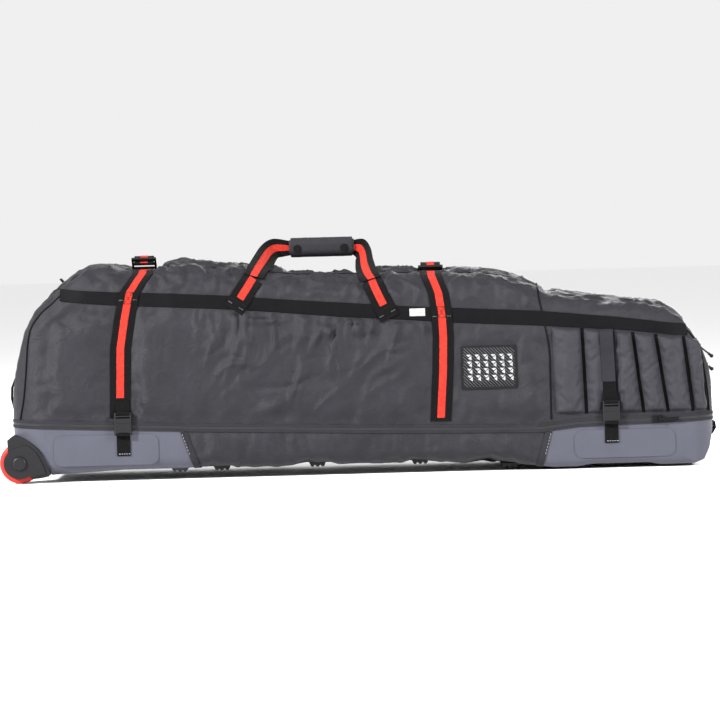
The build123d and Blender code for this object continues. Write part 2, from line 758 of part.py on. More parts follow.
# ---------------------------------------------------------------- carry grip
def grip_ring(inset, x):
    """The grip's rounded section at x, drawn in by inset, filled to the other end."""
    with BuildPart() as ring:
        with BuildSketch(Plane.YZ.offset(x[0])):
            with Locations((0, GRIP_Z)):
                RectangleRounded(GRIP_DEEP - 2 * inset, GRIP_TALL - 2 * inset, GRIP_CORNER - inset)
        extrude(amount=x[1] - x[0])
    return ring.part


def make_grip():
    """A foam core over the two webbings, a sewn sleeve, and the sleeve's snap flap."""
    core = grip_ring(GRIP_WALL + SKIN_GAP, GRIP_X)
    save(core, "grip_core")
    x = (GRIP_X[0] + 3, GRIP_X[1] - 3)
    outer = grip_ring(0, x)
    inner = grip_ring(GRIP_WALL, x)
    with BuildPart() as sleeve:
        add(outer)
        add(inner, mode=Mode.SUBTRACT)
        with Locations((0, FLAP_Y - 50, GRIP_Z)):
            Box(400, 100, 100, mode=Mode.SUBTRACT)
    save(sleeve.part, "grip_sleeve")
    with BuildPart() as flap:
        add(outer)
        add(inner, mode=Mode.SUBTRACT)
        with Locations((0, FLAP_Y + 49.8, GRIP_Z)):
            Box(400, 100, 100, mode=Mode.SUBTRACT)
    save(flap.part, "grip_flap")
    with BuildPart() as snaps:
        for snap_x in (-110, -22):
            with BuildSketch(Plane.XZ.offset(GRIP_DEEP / 2)):
                with Locations((snap_x, GRIP_Z - 2)):
                    Circle(7.2)
            extrude(amount=1.2)
            with BuildSketch(Plane.XZ.offset(GRIP_DEEP / 2 + 1.2)):
                with Locations((snap_x, GRIP_Z - 2)):
                    Circle(5)
            extrude(amount=1.2)
    save(snaps.part, "grip_snaps")


# ---------------------------------------------------------------- side-release buckles
def make_buckles():
    """Sockets on the base, plugs on the lid, and two sprung prongs in each plug."""
    depth = BUCKLE_FRONT - BUCKLE_BACK
    middle = -(BUCKLE_FRONT + BUCKLE_BACK) / 2
    for name, (x, mouth) in BUCKLES.items():
        with BuildPart() as socket:
            with Locations((x, middle, mouth - SOCKET_TALL / 2)):
                Box(BUCKLE_WIDE, depth, SOCKET_TALL)
            fillet(socket.edges().filter_by(Axis.Z), 2.4)
            with Locations((x, middle + 0.5, mouth - 7.5)):
                Box(26, depth - 2.2, 15.02, mode=Mode.SUBTRACT)
            with Locations((x, middle + 0.5, mouth - 8.5)):
                Box(60, depth - 2.2, 8, mode=Mode.SUBTRACT)
            with Locations((x, middle, mouth - 18.2)):
                Box(26, 30, 2.6, mode=Mode.SUBTRACT)
        save(socket.part, f"buckle_socket_{name}_end")
        with BuildPart() as plug:
            with Locations((x, middle, mouth + 0.3 + PLUG_TALL / 2)):
                Box(BUCKLE_WIDE, depth, PLUG_TALL)
            fillet(plug.edges().filter_by(Axis.Z), 2.4)
            with Locations((x, middle, mouth + 10.4), (x, middle, mouth + 15.6)):
                Box(26, 30, 2.6, mode=Mode.SUBTRACT)
            with Locations((x, middle - 0.3, mouth - 5.5)):
                Box(5, 3, 12.4)
        save(plug.part, f"buckle_plug_{name}_end")
        for side, sign in (("left", -1), ("right", 1)):
            with BuildPart() as prong:
                with Locations((x + sign * 10.2, middle - 0.3, mouth - 6.4)):
                    Box(4.8, 3.2, 12.2)
                fillet(prong.edges().filter_by(Axis.Y), 1)
            save(prong.part, f"prong_{name}_end_{side}")


def bar_loop(x, low, high):
    """Webbing folded around a buckle's bar that spans low to high in z."""
    fold = 1.2
    deep = BUCKLE_FRONT - BUCKLE_BACK + 0.6
    with BuildPart() as loop:
        with BuildSketch(Plane.YZ.offset(x - WEB_NARROW / 2)):
            with Locations((-(BUCKLE_BACK + BUCKLE_FRONT) / 2, (low + high) / 2)):
                RectangleRounded(deep + 2 * fold, high - low + 0.6 + 2 * fold, 1.4)
                Rectangle(deep, high - low + 0.6, mode=Mode.SUBTRACT)
        extrude(amount=WEB_NARROW)
    return loop.part


def make_buckle_webbing():
    """Webbing that holds each buckle half: down to the shell, and up to the lid."""
    face = HALF_WIDTH + 2.2
    anchors = []
    for x, mouth in BUCKLES.values():
        left, right = x - WEB_NARROW / 2, x + WEB_NARROW / 2
        top = mouth - SOCKET_TALL - 0.6
        anchors.append(side_prism([(left, 47), (right, 47), (right, top), (left, top)], -face - WEB, -face))
        anchors.append(bar_loop(x, mouth - SOCKET_TALL, mouth - SOCKET_TALL + 2.5))
    with BuildPart() as webbing:
        for piece in anchors:
            add(piece)
    save(webbing.part, "anchor_webbing")

    over = -(HALF_WIDTH + SKIN_GAP + RIB_PROUD + SKIN_GAP + WEB / 2)
    pieces = [bar_loop(x, mouth + PLUG_TALL - 2.1, mouth + PLUG_TALL + 0.3) for x, mouth in BUCKLES.values()]
    x, mouth = BUCKLES["head"]
    path = [(458, over, 252), (459, over, 142), (460.5, -173.2, 134), (x, -173.2, mouth + PLUG_TALL + 1)]
    pieces.append(ribbon(path, WEB_NARROW, WEB, (1, 0, 0)))
    x, mouth = BUCKLES["wheel"]
    path = [(-438.5, -168.1, 148), (x, -168.1, 140), (x, -171, mouth + PLUG_TALL + 2)]
    pieces.append(ribbon(path, WEB_NARROW, WEB, (1, 0, 0)))
    with BuildPart() as straps:
        for piece in pieces:
            add(piece)
    save(straps.part, "buckle_straps")


# ---------------------------------------------------------------- zip slider
def make_slider():
    """Slider of the main zip with a hinged pull that lies along the rim."""
    z = along(SEAM, SLIDER_X)
    face = HALF_WIDTH + RIM_PROUD + 0.4
    pin_x, pin_y = SLIDER_X + 4, -(face + 5.4)
    with BuildPart() as slider:
        with Locations((SLIDER_X, -(face + 1.4), z)):
            Box(18, 2.8, 13)
        for level in (-4.4, 4.4):
            with Locations((pin_x, -(face + 5), z + level)):
                Box(5, 5, 2)
        with BuildSketch(Plane.XY.offset(z - 5)):
            with Locations((pin_x, pin_y)):
                Circle(1)
        extrude(amount=10)
    save(slider.part, "zip_slider")
    with BuildPart() as pull:
        with Locations((pin_x + PULL_LONG / 2 + 1, pin_y, z)):
            Box(PULL_LONG, 1.6, 6)
        fillet(pull.edges().filter_by(Axis.Y).group_by(Axis.X)[-1], 2.4)
        with BuildSketch(Plane.XY.offset(z - 3)):
            with Locations((pin_x, pin_y)):
                Circle(2)
        extrude(amount=6)
        with BuildSketch(Plane.XY.offset(z - 4)):
            with Locations((pin_x, pin_y)):
                Circle(1 + RUNNING)
        extrude(amount=8, mode=Mode.SUBTRACT)
    save(pull.part, "zip_pull")


if __name__ == "__main__":
    make_lid_panels()
    make_head_foam()
    make_rib_pads()
    make_straps()
    make_ladder_locks()
    make_side_bands()
    make_handle_webbing()
    make_lid_trim()
    make_end_pulls()
    make_rims()
    make_base()
    make_base_trim()
    make_housings()
    make_axles()
    make_wheels()
    make_grip()
    make_buckles()
    make_buckle_webbing()
    make_slider()
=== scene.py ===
import json
import math

import bmesh
import bpy
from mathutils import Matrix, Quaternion, Vector, noise
from mathutils.bvhtree import BVHTree


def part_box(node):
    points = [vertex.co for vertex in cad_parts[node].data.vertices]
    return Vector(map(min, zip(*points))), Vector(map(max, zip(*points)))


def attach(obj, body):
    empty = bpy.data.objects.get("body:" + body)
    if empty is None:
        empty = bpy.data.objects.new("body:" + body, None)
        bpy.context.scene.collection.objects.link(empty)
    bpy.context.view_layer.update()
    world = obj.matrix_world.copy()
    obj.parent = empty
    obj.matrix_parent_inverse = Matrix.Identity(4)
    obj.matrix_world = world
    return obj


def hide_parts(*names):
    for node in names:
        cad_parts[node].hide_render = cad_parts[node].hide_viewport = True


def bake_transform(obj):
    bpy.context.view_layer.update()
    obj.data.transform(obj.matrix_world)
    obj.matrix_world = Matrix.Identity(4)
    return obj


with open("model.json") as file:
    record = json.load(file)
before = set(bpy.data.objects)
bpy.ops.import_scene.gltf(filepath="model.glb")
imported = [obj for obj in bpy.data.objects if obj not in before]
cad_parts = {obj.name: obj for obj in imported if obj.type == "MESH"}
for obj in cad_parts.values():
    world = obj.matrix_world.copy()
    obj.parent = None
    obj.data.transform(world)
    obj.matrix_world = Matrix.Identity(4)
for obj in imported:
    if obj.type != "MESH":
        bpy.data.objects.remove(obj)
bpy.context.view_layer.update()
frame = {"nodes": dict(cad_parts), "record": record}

# ---- sizes, in metres
HALF_WIDTH = -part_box("lid_side_near")[0].y
WHEEL_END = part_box("lid_wheel_end_panel")[0].x
HEAD_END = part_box("lid_head_end_panel")[1].x
SEAM = [(-0.660, 0.111), (-0.300, 0.095), (0.075, 0.082)]
SEAM += [(0.330, 0.077), (0.400, 0.085), (0.660, 0.091)]
SEAM_EDGE = 0.0022
WEB = 0.0015  # thickness of webbing
RAISED = 0.0004  # how far webbing lies clear of the cloth under it
CLOTH_THICK = 0.0022
STEP = 0.0085  # spacing of the cloth's mesh

STRAP_WIDE = 0.038
STRIPE_WIDE = 0.014
# Centre lines of the compression straps, seen from the side, (x, z)
STRAP_LINES = {
    "wheel": [(-0.443, 0.090), (-0.438, 0.245), (-0.428, 0.304), (-0.419, 0.345), (-0.395, 0.380)],
    "head": [(0.147, 0.090), (0.154, 0.190), (0.156, 0.250), (0.154, 0.294), (0.149, 0.330)],
}
STRAP_LINES["head"].append((0.137, 0.362))
STRAP_FEET = {"wheel": (0.1165, 0.152), "head": (0.0945, 0.0955)}
# The side band: x, and the heights of its top and foot there
BAND_EDGES = [(-0.546, 0.355, 0.333), (-0.446, 0.348, 0.324), (-0.344, 0.343, 0.318)]
BAND_EDGES += [(-0.234, 0.336, 0.311), (-0.153, 0.328, 0.304), (-0.030, 0.318, 0.292)]
BAND_EDGES += [(0.092, 0.308, 0.283), (0.172, 0.303, 0.276), (0.335, 0.293, 0.266)]
BAND_EDGES += [(0.480, 0.278, 0.255), (0.604, 0.261, 0.240)]
BAND_TOP = [(x, top) for x, top, _ in BAND_EDGES]
BAND_FOOT = [(x, foot) for x, _, foot in BAND_EDGES]
TAILS = [((-0.229, 0.310), (-0.191, 0.366)), ((0.059, 0.287), (0.027, 0.355))]
LABEL_CORNERS = (0.095, 0.2895), (0.1235, 0.3035)
BODY_HEAD_SEAM, WHEEL_PANEL_SEAM = 0.351, -0.593
TOP_SEAM_Y = 0.112
SPINE_INSET = 0.145  # from the case's ends to the line that its domed ends turn about
SEWN_REACH = 0.0006  # from a seam's edge to the first row of cloth
NEAR, FAR = -1, 1
SIDES = ((NEAR, "near"), (FAR, "far"))
BLACK = (0.0030, 0.0030, 0.0034)
CHARCOAL = (0.0116, 0.0112, 0.0143)


def along(points, x):
    """Reads the second value of a polyline at x."""
    if x <= points[0][0]:
        return points[0][1]
    for (x0, z0), (x1, z1) in zip(points, points[1:]):
        if x <= x1:
            return z0 + (z1 - z0) * (x - x0) / (x1 - x0)
    return points[-1][1]


def smooth(low, high, value):
    """0 below low, 1 above high, and an even turn between."""
    share = min(max((value - low) / (high - low), 0), 1)
    return share * share * (3 - 2 * share)


# ---- materials
def new_material(name, color, rough, gloss=0.2, sheen=0.0, metallic=0.0):
    """A plain material, with its node tree and its shader."""
    material = bpy.data.materials.new(name)
    material.use_nodes = True
    shader = material.node_tree.nodes["Principled BSDF"]
    values = {"Base Color": (*color, 1), "Roughness": rough, "Metallic": metallic}
    values.update({"Specular IOR Level": gloss, "Sheen Weight": sheen})
    for key, value in values.items():
        shader.inputs[key].default_value = value
    return material, material.node_tree, shader


def add_node(tree, kind, inputs, operation=None):
    """A new node. Each input is set to a value, or linked where another node's output is given."""
    node = tree.nodes.new("ShaderNode" + kind)
    if operation:
        node.operation = operation
    for key, value in inputs.items():
        if isinstance(value, bpy.types.NodeSocket):
            tree.links.new(value, node.inputs[key])
        else:
            node.inputs[key].default_value = value
    return node


def noise_of(tree, coord, scale, detail, distortion=0.0):
    inputs = {"Vector": coord, "Scale": scale, "Detail": detail, "Distortion": distortion}
    return add_node(tree, "TexNoise", inputs).outputs["Fac"]


def mottled_material(name, color, rough, mottling, roughening, *shine):
    """Varied by noise: mottling is (spread, scale), roughening (less, more, scale)."""
    material, tree, shader = new_material(name, color, rough, *shine)
    spread, scale = mottling
    coord = tree.nodes.new("ShaderNodeTexCoord").outputs["Object"]
    ramp = add_node(tree, "ValToRGB", {"Fac": noise_of(tree, coord, scale, 5)})
    for end, position, share in ((0, 0.3, 1 - spread), (1, 0.7, 1 + spread)):
        ramp.color_ramp.elements[end].position = position
        ramp.color_ramp.elements[end].color = (*[min(c * share, 1) for c in color], 1)
    tree.links.new(ramp.outputs["Color"], shader.inputs["Base Color"])
    less, more, scale = roughening
    inputs = {"To Min": rough - less, "To Max": rough + more}
    inputs["Value"] = noise_of(tree, coord, scale, 4)
    span = add_node(tree, "MapRange", inputs)
    tree.links.new(span.outputs["Result"], shader.inputs["Roughness"])
    return material, tree, coord, shader


def bump(tree, height, distance, strength, shader, after=None):
    inputs = {"Height": height, "Distance": distance, "Strength": strength}
    if after:
        inputs["Normal"] = after
    normal = add_node(tree, "Bump", inputs).outputs["Normal"]
    tree.links.new(normal, shader.inputs["Normal"])
    return normal


def weave_height(tree, coord, pitch):
    """Plain weave: two crossed waves, one along X and one up and over the case."""

    def worked(operation, first, *second):
        inputs = dict(enumerate((first, *second)))
        return add_node(tree, "Math", inputs, operation).outputs[0]

    x, y, z = add_node(tree, "SeparateXYZ", {"Vector": coord}).outputs
    over = worked("SUBTRACT", z, worked("ABSOLUTE", y))
    turns = 2 * math.pi / pitch
    waves = [worked("SINE", worked("MULTIPLY", source, turns)) for source in (x, over)]
    return worked("MULTIPLY", *waves)


def cloth_material(name, color, rough, pitch=0.0011, crease=0.5, gloss=0.08):
    made = mottled_material(name, color, rough, (0.12, 26), (0.07, 0.08, 14), gloss, 0.01)
    material, tree, coord, shader = made
    shader.inputs["Sheen Roughness"].default_value = 0.45
    weave = bump(tree, weave_height(tree, coord, pitch), 0.0003, 0.35, shader)
    bump(tree, noise_of(tree, coord, 38, 6, 1.2), 0.004, crease, shader, weave)
    return material


def webbing_material(name, color, rough=0.62, pitch=0.0022):
    made = mottled_material(name, color, rough, (0.25, 240), (0.08, 0.1, 90), 0.05, 0.02)
    material, tree, coord, shader = made
    bump(tree, weave_height(tree, coord, pitch), 0.0006, 0.7, shader)
    return material


def plastic_material(name, color, rough, grain=900, depth=0.00025, spread=0.06, wear=0.0):
    """Moulded plastic with a fine grain and, where wear is given, broad scuffs."""
    made = mottled_material(name, color, rough, (spread, 18), (0.06, 0.08, 30))
    material, tree, coord, shader = made
    first = bump(tree, noise_of(tree, coord, grain, 3), depth, 0.5, shader)
    if wear:
        bump(tree, noise_of(tree, coord, 60, 8, 3), 0.0012, wear, shader, first)
    return material


def metal_material(name, color, rough):
    return mottled_material(name, color, rough, (0.1, 300), (0.08, 0.12, 400), 0.2, 0, 1)[0]


SATIN = cloth_material("satin_cloth", CHARCOAL, 0.46, crease=0.45, gloss=0.17)
# The ribs' satin is a lighter copy of the satin cloth: painted light for the brighter-lit head end
LIT_RIB_SATIN = cloth_material("rib_satin_painted_light", (0.0215, 0.0210, 0.0260), 0.5, crease=0.5, gloss=0.14)
LINING = cloth_material("lining", (0.05, 0.05, 0.055), 0.7, pitch=0.0018, crease=0.2)
GRIP_CLOTH = cloth_material("grip_cloth", (0.018, 0.018, 0.021), 0.62, 0.0014, 0.2)
BINDING = cloth_material("binding", (0.0165, 0.0162, 0.0195), 0.55, 0.0016, 0.25, 0.05)
BAND = cloth_material("band", (0.0030, 0.0030, 0.0036), 0.5, 0.0018, 0.25, 0.05)
WEBBING = webbing_material("webbing", BLACK)
STRIPE = webbing_material("stripe", (0.42, 0.028, 0.018), 0.6, 0.0018)
PATCH = cloth_material("patch", (0.009, 0.009, 0.010), 0.6, crease=0.1)
WHITE = webbing_material("white_thread", (0.42, 0.42, 0.42), 0.7, 0.0008)
LABEL = webbing_material("label_cloth", (0.42, 0.42, 0.42), 0.6, 0.0009)
FOAM = plastic_material("foam", (0.03, 0.03, 0.032), 0.85, 1500, 0.0006)
BOARD = plastic_material("board", (0.03, 0.03, 0.03), 0.5)
SHELL = plastic_material("shell", (0.051, 0.052, 0.068), 0.40, 700, 0.0003, 0.05, 0.12)
BLACK_PLASTIC = plastic_material("black_plastic", (0.007, 0.007, 0.008), 0.42, 800, 0.0003)
COIL = plastic_material("coil", (0.02, 0.02, 0.02), 0.35)
DARK_METAL = metal_material("dark_metal", (0.014, 0.014, 0.015), 0.4)
STEEL = metal_material("steel", (0.5, 0.5, 0.52), 0.3)
HUB = plastic_material("hub", (0.010, 0.010, 0.011), 0.4)
TYRE = plastic_material("tyre", (0.37, 0.020, 0.014), 0.45, 500, 0.0004, 0.1)
# Near-black strips laid in the channels between the ribs: painted shade for the deep, shadowed gaps
SHADOW = webbing_material("channel_tape", (0.002, 0.002, 0.002), 0.8)
DARK_THREAD = webbing_material("dark_thread", (0.02, 0.012, 0.012), 0.7, 0.0008)
MESH_CORD = webbing_material("mesh_cord", (0.10, 0.10, 0.11), 0.6, 0.0008)

BY_SLOT = {"satin_cloth": SATIN, "grip_cloth": GRIP_CLOTH, "binding": BINDING, "webbing": WEBBING}
BY_SLOT.update({"stripe": STRIPE, "patch": PATCH, "label": LABEL, "foam": FOAM, "board": BOARD})
BY_SLOT.update({"shell": SHELL, "black_plastic": BLACK_PLASTIC, "coil": COIL, "hub": HUB})
BY_SLOT.update({"dark_metal": DARK_METAL, "steel": STEEL, "tyre": TYRE})


def finish_cad_nodes():
    """Gives every CAD node the material of its slot; the side band is a darker binding."""
    slots = {row["node"]: row["material_slot"] for row in frame["record"]["subparts"]}
    for name, node in frame["nodes"].items():
        material = BAND if name == "side_bands" else BY_SLOT[slots[name]]
        if not node.material_slots:
            node.data.materials.append(material)
        for place in node.material_slots:
            place.material = material


# ---- mesh helpers
def add_object(name, data):
    item = bpy.data.objects.new(name, data)
    bpy.context.collection.objects.link(item)
    return item


def new_piece(name, points, faces, material, body, slot, smooth_faces=True):
    mesh = bpy.data.meshes.new(name)
    mesh.from_pydata([tuple(p) for p in points], [], faces)
    mesh.validate()
    mesh.update()
    for polygon in mesh.polygons:
        polygon.use_smooth = smooth_faces
    piece = add_object(name, mesh)
    mesh.materials.append(material)
    if body:
        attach(piece, body)
    return piece


def closed_piece(*facts):
    """A new piece that is a closed mesh, with every face turned outwards."""
    piece = new_piece(*facts)
    reworked(piece, lambda mesh: bmesh.ops.recalc_face_normals(mesh, faces=mesh.faces))
    return piece


def grid_faces(rows, columns, ring=False):
    """Faces of a grid stored row by row; ring joins the last column to the first."""
    faces = []
    for i in range(rows - 1):
        low, high = i * columns, (i + 1) * columns
        for j in range(columns if ring else columns - 1):
            k = (j + 1) % columns
            faces.append((low + j, low + k, high + k, high + j))
    return faces


def shifted(faces, first):
    """The same faces, for points numbered from first."""
    return [[first + k for k in face] for face in faces]


def tree_of(*names):
    """One search tree over the meshes of several CAD nodes or pieces."""
    points, faces = [], []
    for name in names:
        mesh = (frame["nodes"].get(name) or bpy.data.objects[name]).data
        faces += shifted([polygon.vertices for polygon in mesh.polygons], len(points))
        points += [v.co.copy() for v in mesh.vertices]
    return BVHTree.FromPolygons(points, faces)


def reworked(piece, work):
    """Lets work change a piece's mesh as a bmesh."""
    mesh = bmesh.new()
    mesh.from_mesh(piece.data)
    work(mesh)
    mesh.to_mesh(piece.data)
    mesh.free()


def finer(piece):
    """One level of subdivision, applied."""
    modifier = piece.modifiers.new("finer", "SUBSURF")
    modifier.levels = 1
    modifier.render_levels = 1
    return applied(piece)


def walled(piece, thick, lining=None):
    """Gives a sheet its thickness, inwards, with a lining of another material if one is given."""
    wall = piece.modifiers.new("wall", "SOLIDIFY")
    wall.thickness = thick
    wall.offset = -1
    if lining:
        wall.material_offset = 1
        piece.data.materials.append(lining)
    return applied(piece)


def soft_goods(piece, body, fill, *nodes):
    """Attaches a padded piece to its body and hides the CAD nodes it replaces."""
    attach(piece, body)
    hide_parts(*nodes)


def pushed(piece, height):
    """Moves each vertex out by what height says for its number and place."""
    normals = [v.normal.copy() for v in piece.data.vertices]
    for i, (normal, vertex) in enumerate(zip(normals, piece.data.vertices)):
        vertex.co += normal * height(i, vertex.co)
    piece.data.update()


def applied(piece):
    """Replaces a piece's mesh by what its modifiers make of it."""
    graph = bpy.context.evaluated_depsgraph_get()
    mesh = bpy.data.meshes.new_from_object(piece.evaluated_get(graph))
    piece.modifiers.clear()
    piece.data = mesh
    return piece


CLOTH_SETTINGS = {"vertex_group_mass": "pin", "quality": 4, "mass": 0.3, "use_pressure": True}
CLOTH_SETTINGS.update({"tension_stiffness": 30, "compression_stiffness": 12, "shear_stiffness": 6})
CLOTH_SETTINGS.update({"bending_stiffness": 0.6, "tension_damping": 12, "air_damping": 2})


def simulate(piece, pinned, pressure, slack, out_cap, in_cap, steps):
    """Runs Blender's cloth on a piece: pinned vertices hold, the rest swells up to the caps."""
    rest = [v.co.copy() for v in piece.data.vertices]
    normals = [v.normal.copy() for v in piece.data.vertices]
    group = piece.vertex_groups.new(name="pin")
    for index, weight in pinned.items():
        if weight > 0.02:
            group.add([index], weight, "REPLACE")
    cloth = piece.modifiers.new("Cloth", "CLOTH")
    settings = cloth.settings
    for key, value in CLOTH_SETTINGS.items():
        setattr(settings, key, value)
    settings.uniform_pressure_force = pressure
    settings.shrink_min = settings.shrink_max = -slack
    settings.effector_weights.gravity = 0
    cloth.collision_settings.use_collision = False
    cloth.point_cache.frame_start = 1
    cloth.point_cache.frame_end = steps
    scene = bpy.context.scene
    for step in range(1, steps + 1):
        scene.frame_set(step)
    graph = bpy.context.evaluated_depsgraph_get()
    moved = [v.co.copy() for v in piece.evaluated_get(graph).data.vertices]
    piece.modifiers.clear()
    piece.vertex_groups.clear()
    scene.frame_set(1)
    for vertex, start, normal, end in zip(piece.data.vertices, rest, normals, moved):
        shift = end - start
        out = shift.dot(normal)
        side = shift - normal * out
        if side.length > out_cap:
            side *= out_cap / side.length
        vertex.co = start + side + normal * min(max(out, -in_cap), out_cap)
    piece.data.update()


# ---- places on the case
LID_PANELS = ("lid_side_near", "lid_side_far", "lid_top_panel", "lid_wheel_end_panel")
LID_PANELS += ("lid_head_end_panel", "head_side_near", "head_side_far")
CORNER = 0.062  # plan radius of the case's corners


def outline_points(step):
    """Points round the case's outline seen from above, at the outer face of its sides."""
    centres = [
        (HEAD_END - CORNER, -HALF_WIDTH + CORNER, -90),
        (HEAD_END - CORNER, HALF_WIDTH - CORNER, 0),
        (WHEEL_END + CORNER, HALF_WIDTH - CORNER, 90),
        (WHEEL_END + CORNER, -HALF_WIDTH + CORNER, 180),
    ]
    arcs = []
    for x, y, start in centres:
        arc = []
        for j in range(11):
            turn = math.radians(start + 9 * j)
            arc.append(Vector((x + CORNER * math.cos(turn), y + CORNER * math.sin(turn), 0)))
        arcs.append(arc)
    points = []
    for arc, after in zip(arcs, arcs[1:] + arcs[:1]):
        points += arc[:-1]
        run = after[0] - arc[-1]
        count = max(int(run.length / step), 1)
        points += [arc[-1] + run * (j / count) for j in range(count)]
    return points


def evenly(path, count):
    """The same path in count points spaced evenly along it."""
    lengths = [0.0]
    for a, b in zip(path, path[1:]):
        lengths.append(lengths[-1] + (b - a).length)
    out = []
    k = 0
    for i in range(count):
        goal = lengths[-1] * i / (count - 1)
        while k < len(path) - 2 and lengths[k + 1] < goal:
            k += 1
        span = max(lengths[k + 1] - lengths[k], 1e-9)
        out.append(path[k].lerp(path[k + 1], min((goal - lengths[k]) / span, 1)))
    return out


def plan_face(x, side):
    """Point on the case's outline at x, and the way out of the case there."""
    low, high = WHEEL_END + CORNER, HEAD_END - CORNER
    over = min(max(x - high, low - x, 0), CORNER * 0.97)
    y = HALF_WIDTH - CORNER + math.sqrt(CORNER**2 - over**2)
    out = Vector((math.copysign(over, x - low), (y - HALF_WIDTH + CORNER), 0)).normalized()
    return Vector((x, side * y, 0)), Vector((out.x, side * out.y, 0))


def on_side(tree, x, z, side):
    """Point on the lid's side or corner at x and z."""
    face, out = plan_face(x, side)
    face.z = z
    hit = tree.ray_cast(face + out * 0.05, -out, 0.16)[0]
    return hit or face


def strap_x(which, z):
    """Centre of a strap at height z."""
    return along([(z, x) for x, z in STRAP_LINES[which]], z)


# ---- lid cloth
def lid_grid():
    """Columns of points from the lid's seam up to its spine, one for each outline point."""
    tree = tree_of(*LID_PANELS)
    spine = (WHEEL_END + SPINE_INSET, HEAD_END - SPINE_INSET)
    columns = []
    rows = 46
    for foot in outline_points(STEP):
        seam = along(SEAM, foot.x) + SEAM_EDGE + SEWN_REACH
        heart = Vector((min(max(foot.x, spine[0]), spine[1]), 0, seam))
        away = Vector((foot.x, foot.y, seam)) - heart
        reach = away.length
        away.normalize()
        path = []
        for k in range(141):
            angle = math.radians(90 * k / 140)
            way = away * math.cos(angle) + Vector((0, 0, 1)) * math.sin(angle)
            hit = tree.ray_cast(heart + way * (reach + 0.6), -way)[0]
            path.append(hit or heart + away * reach)
        columns.append(evenly(path, rows))
    return columns, rows


def near(value, low, high):
    """1 where value is within low of 0, falling to 0 at high from it."""
    return 1 - smooth(low, high, abs(value))


def hold_at(point):
    """How firmly the lid's cloth is held at a point, from 0, free, to 1, sewn down."""
    x, y, z = point
    top, foot = along(BAND_TOP, x), along(BAND_FOOT, x)
    on_flank = abs(y) > 0.1
    holds = [1 - smooth(0.006, 0.016, z - along(SEAM, x))]
    holds += [0.8 * (1 - smooth(-0.61, -0.55, x)), 0.6 * smooth(0.60, 0.64, x)]
    for which, (bottom, _) in STRAP_FEET.items():
        if z > bottom - 0.01:
            holds.append(near(x - strap_x(which, z), 0.017, 0.026))
    if on_flank and -0.55 < x < 0.61:
        half = (top - foot) / 2
        holds.append(near(z - (top + foot) / 2, half, half + 0.009))
    for (x0, z0), (x1, z1) in TAILS:
        if on_flank and z > z0 - 0.01:
            holds.append(near(x - x0 - (x1 - x0) * (z - z0) / (z1 - z0), 0.017, 0.026))
    if not on_flank or z > top:
        holds.append(0.85 * near(abs(y) - TOP_SEAM_Y, 0.002, 0.009))
    for seam_x in (BODY_HEAD_SEAM, WHEEL_PANEL_SEAM):
        holds.append(0.9 * near(x - seam_x, 0.002, 0.010))
    if x > 0.345 and z < foot + 0.004 and on_flank:  # under the ribs
        holds.append(0.97)
    if x < -0.61 and abs(y) < 0.035:  # under the tabs at the wheel end
        holds.append(0.97)
    if -0.145 < x < 0.015 and abs(y) < 0.1:  # under the grip
        holds.append(0.85 * smooth(-0.145, -0.125, x) * (1 - smooth(-0.005, 0.015, x)))
    if 0.183 < x < 0.295 and 0.147 < z < 0.236 and y < 0:  # under the vent patch
        holds.append(0.985)
    return max(holds)


def wavy(x, y, z):
    """Even noise from -1 to 1."""
    return noise.noise(Vector((x, y, z)))


def ridged(value, sharp=2.2):
    """A sharp ridge where value passes through 0."""
    return max(1 - abs(value) * sharp, 0) ** 2


SLANTS = ((0.92, 17, 0.0100, 5.9), (0.45, 21, -0.0070, 12.3), (1.35, 15, 0.0075, 21.8))


def folds(point):
    """Height of the creases: flutes under the band, long slanting folds, and crumples on top."""
    x, y, z = point
    side = 7.3 if y > 0 else 0.0
    around = z - abs(y)
    top, foot = along(BAND_TOP, x), along(BAND_FOOT, x)
    slack = smooth(-0.44, -0.36, x) * (1 - 0.7 * smooth(0.16, 0.20, x)) + 0.12
    big = wavy(x * 8, around * 7, 3.1 + side)
    height = 0.0022 * big * slack
    flank = smooth(0.12, 0.15, abs(y)) * (0.3 + 0.7 * smooth(-0.46, -0.40, x))
    if flank > 0 and z < foot + 0.01:
        below = foot - z
        reach = 0.085 + 0.06 * wavy(x * 13, 4.4, side)
        flute = wavy(x * 38 + below * 5 + big, below * 6, 1.3 + side)
        middle = smooth(-0.38, -0.12, x) * (1 - smooth(0.11, 0.15, x)) + 0.16
        hang = 1 - smooth(reach * 0.25, reach, below)
        height += 0.0095 * middle * ridged(flute, 3.2) * hang * flank
        zone = smooth(-0.33, -0.16, x) * (1 - smooth(0.07, 0.14, x)) * smooth(0.11, 0.17, z) + 0.06
        patchy = smooth(-0.15, 0.35, wavy(x * 9, z * 9, 17.4 + side))
        for turn, tight, tall, seed in SLANTS:
            lean = math.cos(turn) * x + math.sin(turn) * z
            across = math.sin(turn) * x - math.cos(turn) * z
            bend = 0.9 * wavy(x * 10, z * 10, seed + side)
            place = (across * tight + bend, lean * tight * 0.42, seed * 1.7 + side)
            crease = wavy(*place)
            height += tall * zone * (0.25 + 0.75 * patchy) * ridged(crease, 4.2) * flank
    if z > top or abs(y) < 0.15:
        rise = smooth(0.0, 0.02, z - top) if flank > 0 else 1
        crumple = wavy(x * 30 + big, around * 22, 8.2 + side)
        small = wavy(x * 60, around * 44 + big, 2.2 + side)
        height += (0.0062 * ridged(crumple, 2.8) + 0.0022 * small) * rise * (0.3 + 0.7 * slack)
    fine = wavy(x * 85, around * 60, 9.2 + side)
    return height + 0.0003 * fine


